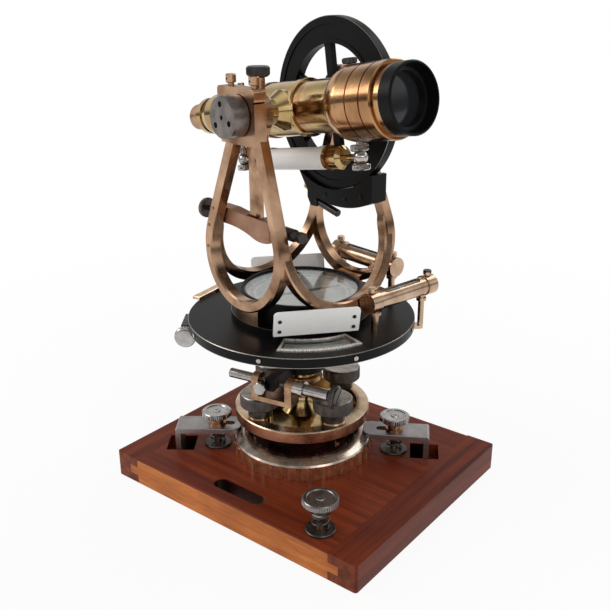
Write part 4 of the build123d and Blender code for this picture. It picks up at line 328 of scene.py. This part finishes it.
# Zones are measured in the frame that the finish names; a zone's z is a height over the table.
polished_brass = metal_finish(
    "polished brass, turned", "polished brass", place=TELESCOPE_FRAME, patch=30, bump=0.015,
)
telescope_brass = metal_finish(
    "polished brass, turned, with copper-toned lacquer", "polished brass",
    [("copper", ("x", -64, -33)), ("rose brass", ("x", -18, 22)), ("rose brass", ("x", 52, 108))],
    TELESCOPE_FRAME, 26, 1.2, 0.05, ("girth", "x"),
)
eyepiece_finish = metal_finish("turned brass eyepiece with a dark draw tube", "bronze", [
    ("gunmetal", ("x", -125.2, -90)),
], TELESCOPE_FRAME, 12)
bronze_casting = metal_finish(
    "bronze casting, dressed and lacquered", "casting bronze", place=PLATE_FRAME, patch=22, bump=0.04,
)
bronze_bar = metal_finish(
    "bronze casting, matte", "matte bronze", place=PLATE_FRAME, patch=16, grain=0.5, bump=0.12,
)
foot_metal = metal_finish("scalloped bronze, worn on its ridges, with a turned cone", "scallop bronze", [
    # painted highlight: the ridges are pale brass for the bright streaks they catch
    ("ridge highlight brass", ("r", 59.1, 61)),
    ("turned cone", ("r", 50.2, 57.9), ("z", 33.9, 38.1)),
    # painted shade: the drum under the dish is dark partly as the shade of that gap
    ("drum dark with shade", ("r", 0, 50.1), ("z", 38.05, 60)),
], patch=9, grain=1.1, bump=0.1, turned=("r", "z"))
head_metal = metal_finish("turned bronze head with a pale rim", "polished brass", [
    ("dull copper", ("r", 56.2, 60), ("z", 50, 64.2)),
    ("satin brass", ("r", 46.3, 60), ("z", 64.2, 66)),
    ("gunmetal", ("r", 28, 56.5), ("z", 66, 78)),
], patch=12, grain=1.0, bump=0.08, turned=("r", "z"))
levelling_metal = metal_finish("milled steel levelling head with a brass cap", "milled steel", [
    ("polished brass", ("z", 40, 74.4)),
    ("worn edge", ("z", 85.5, 86.05)),
], patch=7)
knob_metal = metal_finish("nickel-plated knob, worn", "nickel", [
    ("bronze", ("z", 20, 46)),
], patch=6, grain=0.6, bump=0.08)
dark_knob_metal = metal_finish("plated knob, dulled", "dulled nickel", [
    ("bronze", ("z", 20, 30)),
], patch=6, grain=0.6, bump=0.1)
cast_nickel = metal_finish("nickel-plated casting", "cast nickel", patch=24, grain=0.7, bump=0.07)
aged_brass = metal_finish("aged brass", "bronze", patch=8)
level_brass = metal_finish("polished brass, lacquered", "level brass", [
    ("gunmetal", ("x", 70, 90), ("y", -30, 12), ("z", 181, 200)),
    ("gunmetal", ("x", 62, 72), ("y", 70, 80), ("z", 181, 200)),
], PLATE_FRAME, 14, bump=0.012)
telescope_level_brass = metal_finish("brass level end, ringed", "polished brass", [
    ("copper", ("x", 31, 34)), ("nickel", ("x", 54, 70)), ("nickel", ("x", -90, -72)),
], TELESCOPE_FRAME, 9)
nickel = metal_finish("polished nickel", "nickel", patch=9, bump=0.02)
gunmetal = metal_finish("gunmetal, oiled", "gunmetal", patch=6, grain=0.5, bump=0.06)
copper = metal_finish("copper-toned bronze", "copper", patch=8)
spindle_bronze = metal_finish("turned bronze spindle", "polished brass", patch=12, bump=0.02)
lacquer = metal_finish(
    "black lacquer on brass", "black lacquer", place=PLATE_FRAME, patch=30, grain=0.7, bump=0.05,
)
plate_lacquer = metal_finish("black lacquer with a rubbed edge", "black lacquer", [
    ("worn edge", ("r", 91.55, 92.2), ("z", 145.75, 146.5)),
    ("worn edge", ("r", 91.7, 92.2), ("z", 138.2, 138.75)),
    ("worn edge", ("r", 56.7, 57.1), ("z", 151.7, 152.1)),
], PLATE_FRAME, 34, 0.8, 0.04)
circle_lacquer = metal_finish("black lacquer, turned", "black lacquer", [
    ("worn edge", ("wheel", 64.4, 65.2), ("y", 31.6, 32.2)),
], TELESCOPE_FRAME, 30, 0.8, 0.04)
hood_lacquer = metal_finish("black lacquered hood with a brass ring", "black lacquer", [
    ("rose brass", ("x", 99, 105.6)),
], TELESCOPE_FRAME, 20, 0.8, 0.04)
slide_finish = metal_finish("brass slide with a blackened mouth", "polished brass", [
    ("black lacquer", ("x", 96, 112)),
], TELESCOPE_FRAME, 20)
silver_scale = graduated(
    "silvered brass, engraved in half degrees", PLATE_FRAME, (70.4, 69, 0.09, 73.6), 720, 10,
)
compass_silver = graduated(
    "silvered brass dial, engraved in degrees", PLATE_FRAME, (38.4, 37, 0.13, 41.4), 360, 10,
)
white_enamel = painted("white enamel on black feet", "#f7f6f3", 0.42, 0.015, 152.4)
level_enamel = painted("white enamel, yellowed", "#fbf8f3", 0.36, 0.015)
cover_glass = clear_glass("flat glass", "#f4f7f6", 0.97)
vial_glass = clear_glass("filled glass vial", "#a8a49c", 0.55, 0.06)
bubble_air = clear_glass("air bubble in the spirit", "#dfe6dc", 0.7, 0.05)
# Painted shade: the lens is tinted dark and nearly opaque for the shaded inside of the tube
shaded_lens_glass = clear_glass("lens dark with the tube's painted shade", "#26272a", 0.12, 0.12)
blued_steel = metal_finish("blued steel", "gunmetal", patch=5)
# The finger slot and the two clamp pockets, as x and y in millimetres, whose walls are painted dark as shade
POCKETS = ((-21, 32, -96, -79), (-95, -60, -75, -40), (60, 100, 25, 65))
board_wood = mahogany("varnished mahogany", "#8d3c1e", "#572010", "x", ("#dc8745", "#ad5f2e"), POCKETS)
batten_wood = mahogany("varnished mahogany, end battens", "#81361b", "#4c1b0d", "y", ("#8f4829", "#5c2a16"))
dark_steel = metal_finish("dark steel, oiled", "dark steel", patch=5, grain=0.6)
window_brass = metal_finish("pale window brass", "window brass", place=PLATE_FRAME, patch=9, bump=0.03)
milled_steel = metal_finish("milled steel", "milled steel", patch=7, grain=0.5)
faced_steel = metal_finish(
    "steel disc, faced in the lathe", "faced steel", place=TELESCOPE_FRAME, patch=10, bump=0.03,
)
arm_bronze = metal_finish("bronze arm, polished", "casting bronze", place=PLATE_FRAME, patch=12, bump=0.02)
housing_metal = metal_finish("gunmetal with a brass bar on the plate", "gunmetal", [
    ("satin brass", ("z", 146.3, 150)),
    ("black lacquer", ("z", 146.3, 148.6), ("x", -96, -84), ("y", -26, -8)),
], PLATE_FRAME, 8)
guard_lacquer = metal_finish("black lacquer with a steel adjuster", "black lacquer", [
    ("gunmetal", ("x", -19, 8), ("y", 31, 41), ("z", 218, 231)),
    ("satin brass", ("x", -40, -29.2), ("y", 31, 41), ("z", 232, 250)),
], PLATE_FRAME, 30, 0.7, 0.05)

NODE_FINISH = {
    "board_panel": board_wood, "board_battens": batten_wood, "screw_ferrules": dark_steel,
    "clamp_springs": dark_steel, "foot_plate": foot_metal, "levelling_shoes": aged_brass,
    "levelling_head": head_metal, "levelling_ball_nut": aged_brass, "lower_tangent_bracket": aged_brass,
    "lower_tangent_barrels": nickel, "clamp_plate_left": cast_nickel, "clamp_plate_right": cast_nickel,
    "clamp_screw_left": knob_metal, "clamp_screw_right": knob_metal,
    "clamp_screw_front": dark_knob_metal, "outer_spindle": spindle_bronze,
    "horizontal_limb": silver_scale, "lower_clamp_collar": lacquer, "lower_clamp_screw": nickel,
    "lower_tangent_screw": milled_steel, "inner_spindle": spindle_bronze,
    "vernier_plate": plate_lacquer, "vernier_frames": window_brass, "cover_glasses": cover_glass,
    "verniers": silver_scale, "reflectors": white_enamel, "compass_box": lacquer,
    "compass_dial": compass_silver, "standards": bronze_casting, "bearing_caps": bronze_casting,
    "plate_levels": level_brass, "plate_level_vials": vial_glass, "vertical_guard": guard_lacquer,
    "vertical_tangent_bracket": bronze_bar, "vertical_spring_barrel": gunmetal,
    "upper_tangent_housing": housing_metal, "upper_clamp_arm": copper, "upper_clamp_screw": nickel,
    "upper_tangent_screw": nickel, "compass_needle": blued_steel, "clamp_arm": arm_bronze,
    "clamp_arm_screw": gunmetal, "vertical_tangent_screw": milled_steel,
    "telescope_tube": telescope_brass, "reticle": polished_brass, "trunnion_axle": polished_brass,
    "axle_end_discs": faced_steel, "vertical_circle": circle_lacquer,
    "telescope_level_tube": level_enamel, "telescope_level_vial": vial_glass,
    "telescope_level_ends": telescope_level_brass, "objective_slide": slide_finish,
    "objective_hood": hood_lacquer, "objective_lens": shaded_lens_glass, "eyepiece": eyepiece_finish,
    "focus_pinion": gunmetal, "levelling_screw_1": levelling_metal,
    "levelling_screw_2": levelling_metal, "levelling_screw_3": levelling_metal,
    "levelling_screw_4": levelling_metal,
}
for node_name, material in NODE_FINISH.items():
    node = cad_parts[node_name]
    node.data.materials.clear()
    node.data.materials.append(material)


# Pieces added to the frame

def start_piece():
    bpy.ops.object.select_all(action="DESELECT")


def settle(piece, name, place, material, body):
    """Puts a finished piece where it belongs, with its place in its mesh."""
    piece.name = name
    piece.data.name = name
    piece.matrix_world = place @ piece.matrix_world
    bpy.ops.object.select_all(action="DESELECT")
    piece.select_set(True)
    bpy.context.view_layer.objects.active = piece
    bpy.ops.object.transform_apply(location=True, rotation=True, scale=True)
    piece.data.materials.clear()
    piece.data.materials.append(material)
    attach(piece, body)
    return piece


def knurled_rim(name, place, radius, length, teeth, material, body, depth=0.35):
    """A milled edge: a closed drum, with every other line of corners drawn in to make the teeth."""
    start_piece()
    bpy.ops.mesh.primitive_cylinder_add(vertices=2 * teeth, radius=(radius + depth) * MM, depth=length * MM)
    rim = bpy.context.object
    for part in (*rim.data.edges, *rim.data.polygons):
        part.select = False
    step = math.pi / teeth
    for vertex in rim.data.vertices:
        turn = math.atan2(vertex.co.y, vertex.co.x) / step
        vertex.select = round(turn) % 2 == 0
    bpy.ops.object.mode_set(mode="EDIT")
    bpy.ops.mesh.select_mode(type="VERT")
    shrink = (radius - 0.1) / (radius + depth)
    bpy.ops.transform.resize(value=(shrink, shrink, 1), center_override=(0, 0, 0))
    bpy.ops.object.mode_set(mode="OBJECT")
    return settle(rim, name, place, material, body)


def slotted_screw(name, place, radius, height, material, body, angle=0.0):
    """A round-edged screw head with its driver slot cut across."""
    start_piece()
    bpy.ops.mesh.primitive_cylinder_add(
        vertices=28, radius=radius * MM, depth=height * MM, location=(0, 0, height / 2 * MM),
    )
    head = bpy.context.object
    edge_round = head.modifiers.new("edge", "BEVEL")
    edge_round.width = min(radius, height) * 0.22 * MM
    edge_round.segments = 2
    bpy.ops.object.modifier_apply(modifier="edge")
    bpy.ops.mesh.primitive_cube_add(size=1, location=(0, 0, height * MM))
    cutter = bpy.context.object
    cutter.scale = (radius * 2.4 * MM, radius * 0.32 * MM, height * 0.8 * MM)
    cutter.rotation_euler = (0, 0, angle)
    bpy.ops.object.transform_apply(location=True, rotation=True, scale=True)
    bpy.context.view_layer.objects.active = head
    slot_cut = head.modifiers.new("slot", "BOOLEAN")
    slot_cut.operation = "DIFFERENCE"
    slot_cut.solver = "EXACT"
    slot_cut.object = cutter
    bpy.ops.object.modifier_apply(modifier="slot")
    bpy.data.objects.remove(cutter)
    bpy.ops.object.select_all(action="DESELECT")
    head.select_set(True)
    bpy.ops.object.shade_smooth_by_angle(angle=math.radians(35))
    return settle(head, name, place, material, body)


def facing(frame_of, point, outward):
    """A place at a point of a frame, in millimetres, with Z along outward."""
    turn = Vector(outward).to_track_quat("Z", "Y").to_matrix().to_4x4()
    return frame_of @ Matrix.Translation(Vector(point) * MM) @ turn


def around(radius, degrees_round):
    angle = math.radians(degrees_round)
    return radius * math.cos(angle), radius * math.sin(angle)


# Milled edges of the levelling heads and of the knobs
SCREW_CIRCLE, FIRST_SCREW, HEAD_MIDDLE = 42.5, -15.5, 80.3
for number in range(4):
    x, y = around(SCREW_CIRCLE, FIRST_SCREW + 90 * number)
    place = facing(BOARD_FRAME, (x, y, HEAD_MIDDLE), (0, 0, 1))
    screw = f"levelling_screw_{number + 1}"
    knurled_rim(
        f"levelling_head_milling_{number + 1}", place, 16, 8.4, 90, milled_steel, screw, 0.2,
    )

# Each knob: name, frame, middle of its rim, radius, length, teeth, finish, body and slot
KNOBS = [
    ("left_knob_milling", BOARD_FRAME, (*around(73.5, -143.5), 52.6), 12.3, 3.6, 44,
     nickel, "clamp_screw_left", "nickel"),
    ("right_knob_milling", BOARD_FRAME, (*around(79, 31), 53.6), 12.3, 3.6, 44,
     nickel, "clamp_screw_right", "nickel"),
    ("front_knob_milling", BOARD_FRAME, (86.3, -87.5, 48.1), 13.5, 3.6, 48,
     dark_knob_metal, "clamp_screw_front", "gunmetal"),
    ("clamp_head_milling", PLATE_FRAME, (3, -40.8, 339.3), 8.1, 4.6, 36,
     gunmetal, "clamp_arm_screw", "gunmetal"),
    ("focus_head_milling", TELESCOPE_FRAME, (58, 0, 28.7), 5, 2.4, 26,
     gunmetal, "focus_pinion", "gunmetal"),
]
for name, frame_of, point, radius, length, teeth, material, body, slot in KNOBS:
    knurled_rim(name, facing(frame_of, point, (0, 0, 1)), radius, length, teeth, material, body)

# Screws of the reflectors, which stand 60 mm from the axis and lean outwards
REFLECTOR_LEAN = math.radians(18)
REFLECTOR_BASE = Vector((0, -60, 152.5))
REFLECTOR_SIDES = (("front", -30), ("back", 150))
face_out = Vector((0, -math.cos(REFLECTOR_LEAN), -math.sin(REFLECTOR_LEAN)))
upward = Vector((0, -math.sin(REFLECTOR_LEAN), math.cos(REFLECTOR_LEAN)))
for side, turn in REFLECTOR_SIDES:
    turned = PLATE_FRAME @ Matrix.Rotation(math.radians(turn + 90), 4, "Z")
    for number, (across, height) in enumerate([(-28, 5), (-28, 14.5), (28, 5), (28, 14.5)]):
        point = REFLECTOR_BASE + Vector((across, 0, 0)) + upward * height + face_out * 1.6
        slotted_screw(
            f"reflector_screw_{side}_{number + 1}", facing(turned, point, face_out), 1.5, 0.7,
            gunmetal, "alidade", 0.6 * number,
        )

# Screws round the plate's skirt
for number, turn in enumerate([-150, -105, -60, -15, 30, 75, 120, 165]):
    x, y = around(92, turn)
    place = facing(PLATE_FRAME, (x, y, 142.4), (x, y, 0))
    slotted_screw(f"skirt_screw_{number + 1}", place, 1.8, 0.9, nickel, "alidade", 0.5 * number)

# Slotted faces and milled edges of the three tangent screws' discs: name, frame, middle of the
# outer face, direction outwards, radius, finish, body and slot
DISCS = [
    ("lower_disc", LOWER_FRAME, (57, -49.3, 104), (1, 0, 0), 9,
     milled_steel, "lower_tangent_screw", "gunmetal"),
    ("upper_disc", UPPER_FRAME, (16, -94, 129.5), (1, 0, 0), 8.6,
     nickel, "upper_tangent_screw", "nickel"),
    ("vertical_disc", PLATE_FRAME, (-69, -42, 228), (-1, 0, 0), 7.8,
     milled_steel, "vertical_tangent_screw", "gunmetal"),
]
for name, frame_of, point, outward, radius, material, body, slot in DISCS:
    rim_place = facing(frame_of, Vector(point) - Vector(outward) * 2, outward)
    face_place = facing(frame_of, point, outward)
    knurled_rim(f"{name}_milling", rim_place, radius, 2.6, 34, material, body, 0.3)
    slotted_screw(f"{name}_face", face_place, radius - 1.6, 0.9, material, body, 0.7)

# Screws of the guard and rivets of the near standard
for number, (x, z) in enumerate([(-3, 238.5), (20, 238.8), (38, 244)]):
    place = facing(PLATE_FRAME, (x, 29.4, z), (0, -1, 0))
    slotted_screw(
        f"guard_screw_{number + 1}", place, 2.1, 1.2, lacquer, "alidade", 0.8 * number,
    )
LOOP_LEAN, LOOP_TOP = 0.06, 289
for number, (x, z) in enumerate([(-36, 236), (-41, 222), (-42.4, 205)]):
    place = facing(PLATE_FRAME, (x, -54.5 - LOOP_LEAN * (LOOP_TOP - z), z), (0, -1, LOOP_LEAN))
    slotted_screw(
        f"standard_screw_{number + 1}", place, 1.3, 0.5, aged_brass, "alidade", 1.1 * number,
    )

# Black feet that hold the reflectors, behind their lower corners
for side, turn in REFLECTOR_SIDES:
    turned = PLATE_FRAME @ Matrix.Rotation(math.radians(turn + 90), 4, "Z")
    for number, across in enumerate((-30, 30)):
        start_piece()
        bpy.ops.mesh.primitive_cube_add(size=1)
        foot = bpy.context.object
        foot.scale = (5.2 * MM, 9 * MM, 0.8 * MM)
        bpy.ops.object.transform_apply(scale=True)
        point = REFLECTOR_BASE + Vector((across, 0, 0)) + upward * 5 - face_out * 2.2
        along_plate = Matrix.Rotation(math.radians(90) + REFLECTOR_LEAN, 4, "X")
        place = turned @ Matrix.Translation(point * MM) @ along_plate
        settle(foot, f"reflector_foot_{side}_{number + 1}", place, lacquer, "alidade")

# Bubbles of the plate levels
for name, point, turn in (("front_bubble", (67, 44.5, 173.2), 90), ("back_bubble", (-0.5, 73.5, 180.2), 0)):
    start_piece()
    bpy.ops.mesh.primitive_uv_sphere_add(segments=32, ring_count=16, radius=1)
    bubble = bpy.context.object
    bubble.scale = (8 * MM, 3.2 * MM, 2.65 * MM)
    bpy.ops.object.transform_apply(scale=True)
    bpy.ops.object.shade_smooth()
    along_level = Matrix.Rotation(math.radians(turn), 4, "Z")
    place = PLATE_FRAME @ Matrix.Translation(Vector(point) * MM) @ along_level
    settle(bubble, name, place, bubble_air, "alidade")

# Figures round the compass ring, 0 to 90 in each quadrant, every 30 degrees
FIGURE_RADIUS, DIAL_HEIGHT = 43.2, 162.53
for number in range(12):
    start_piece()
    bpy.ops.object.text_add()
    figure = bpy.context.object
    figure.data.body = str(90 - abs(number % 6 * 30 - 90))
    figure.data.align_x = "CENTER"
    figure.data.align_y = "CENTER"
    figure.data.size = 3.2 * MM
    figure.data.extrude = 0.03 * MM
    figure.data.resolution_u = 3
    bpy.ops.object.convert(target="MESH")
    figure = bpy.context.object
    x, y = around(FIGURE_RADIUS, 90 - 30 * number)
    upright = Matrix.Rotation(math.radians(-30 * number), 4, "Z")
    place = PLATE_FRAME @ Matrix.Translation(Vector((x, y, DIAL_HEIGHT)) * MM) @ upright
    settle(figure, f"compass_figure_{number + 1}", place, lacquer, "alidade")

# Stage, light and camera

bpy.ops.object.select_all(action="DESELECT")
bpy.ops.mesh.primitive_plane_add(size=12, location=(0, 0, -0.0002))
floor = bpy.context.object
floor.name = "floor"
floor_material = bpy.data.materials.new("pale paper")
floor_material.use_nodes = True
tree = floor_material.node_tree
tree.nodes.clear()
seen = add_node(tree, "ShaderNodeLightPath")
direct = add_node(tree, "ShaderNodeMath", {
    0: seen.outputs["Is Camera Ray"], 1: seen.outputs["Is Glossy Ray"],
}, operation="MAXIMUM")
shown = add_node(tree, "ShaderNodeMath", {
    0: direct.outputs[0], 1: seen.outputs["Is Transmission Ray"],
}, operation="MAXIMUM")
ground = add_node(tree, "ShaderNodeTexCoord")
away = add_node(tree, "ShaderNodeVectorMath", {0: ground.outputs["Object"]}, operation="LENGTH")
paleness = add_node(tree, "ShaderNodeMapRange", {
    0: away.outputs["Value"], 1: 0.2, 2: 0.8, 3: 0.9, 4: 1.0,
})
share = add_node(tree, "ShaderNodeMath", {0: shown.outputs[0], 1: paleness.outputs[0]}, operation="MULTIPLY")
paper = add_node(tree, "ShaderNodeBsdfDiffuse", {"Color": (0.9, 0.9, 0.9, 1)})
white = add_node(tree, "ShaderNodeEmission", {"Color": (1, 1, 1, 1), "Strength": 1.0})
mixed = add_node(tree, "ShaderNodeMixShader", {
    0: share.outputs[0], 1: paper.outputs[0], 2: white.outputs[0],
})
add_node(tree, "ShaderNodeOutputMaterial", {"Surface": mixed.outputs[0]})
floor.data.materials.append(floor_material)

world = bpy.data.worlds.new("studio")
bpy.context.scene.world = world
world.use_nodes = True
tree = world.node_tree
tree.nodes.clear()
seen = add_node(tree, "ShaderNodeLightPath")
direct = add_node(tree, "ShaderNodeMath", {
    0: seen.outputs["Is Camera Ray"], 1: seen.outputs["Is Transmission Ray"],
}, operation="MAXIMUM")
around_us = add_node(tree, "ShaderNodeTexCoord")
sky_axes = add_node(tree, "ShaderNodeSeparateXYZ", {0: around_us.outputs["Generated"]})
height = add_node(tree, "ShaderNodeMapRange", {0: sky_axes.outputs[2], 1: -1, 2: 1})
bands = add_node(tree, "ShaderNodeValToRGB", {0: height.outputs[0]})
# What polished metal mirrors, from straight down (0) to straight up (1), with its brightness:
# a dim floor, a dark wall, a bright window and a ceiling
ROOM = [
    (0.0, 0.5), (0.4, 0.42), (0.47, 0.16), (0.54, 0.14), (0.6, 0.8), (0.72, 1.0), (0.8, 0.22),
    (0.9, 0.3), (1.0, 1.0),
]
bands.color_ramp.elements[0].position = ROOM[0][0]
bands.color_ramp.elements[1].position = ROOM[-1][0]
for position, _ in ROOM[1:-1]:
    bands.color_ramp.elements.new(position)
for element, (_, brightness) in zip(bands.color_ramp.elements, ROOM):
    element.color = (brightness, brightness, brightness, 1)
soft = add_node(tree, "ShaderNodeMix", {
    0: seen.outputs["Is Glossy Ray"], 2: 0.6, 3: bands.outputs[0],
}, data_type="FLOAT")
strength = add_node(tree, "ShaderNodeMix", {
    0: direct.outputs[0], 2: soft.outputs[0], 3: 1.0,
}, data_type="FLOAT")
background = add_node(tree, "ShaderNodeBackground", {"Color": (1, 1, 1, 1), "Strength": strength.outputs[0]})
add_node(tree, "ShaderNodeOutputWorld", {"Surface": background.outputs[0]})

LAMPS = [
    ("window_left", (-0.9, -0.75, 0.95), 0.7, 5.5),
    ("soft_right", (1.0, -0.35, 0.8), 0.6, 2.4),
    ("soft_back", (0.3, 1.1, 1.1), 0.7, 3.6),
]
AIM = Vector((0, 0, 0.18))
for name, position, size, power in LAMPS:
    lamp = bpy.data.lights.new(name, "AREA")
    lamp.energy = power
    lamp.size = size
    lamp_object = bpy.data.objects.new(name, lamp)
    bpy.context.collection.objects.link(lamp_object)
    lamp_object.location = position
    lamp_object.rotation_euler = (AIM - Vector(position)).to_track_quat("-Z", "Y").to_euler()

YAW, PITCH, ROLL = math.radians(38.397), math.radians(21.085), math.radians(-0.329)
FOCAL_PIXELS, PICTURE_PIXELS, SENSOR_WIDTH = 826.8, 610, 36
camera_data = bpy.data.cameras.new("camera")
camera_data.sensor_width = SENSOR_WIDTH
camera_data.lens = SENSOR_WIDTH * FOCAL_PIXELS / PICTURE_PIXELS
camera = bpy.data.objects.new("camera", camera_data)
bpy.context.collection.objects.link(camera)
camera.location = (0.39274, -0.49086, 0.39441)
forward = Vector((-math.sin(YAW) * math.cos(PITCH), math.cos(YAW) * math.cos(PITCH), -math.sin(PITCH)))
camera.rotation_mode = "QUATERNION"
camera.rotation_quaternion = forward.to_track_quat("-Z", "Y") @ Euler((0, 0, ROLL)).to_quaternion()
bpy.context.scene.camera = camera

bpy.context.scene.view_settings.view_transform = "Standard"
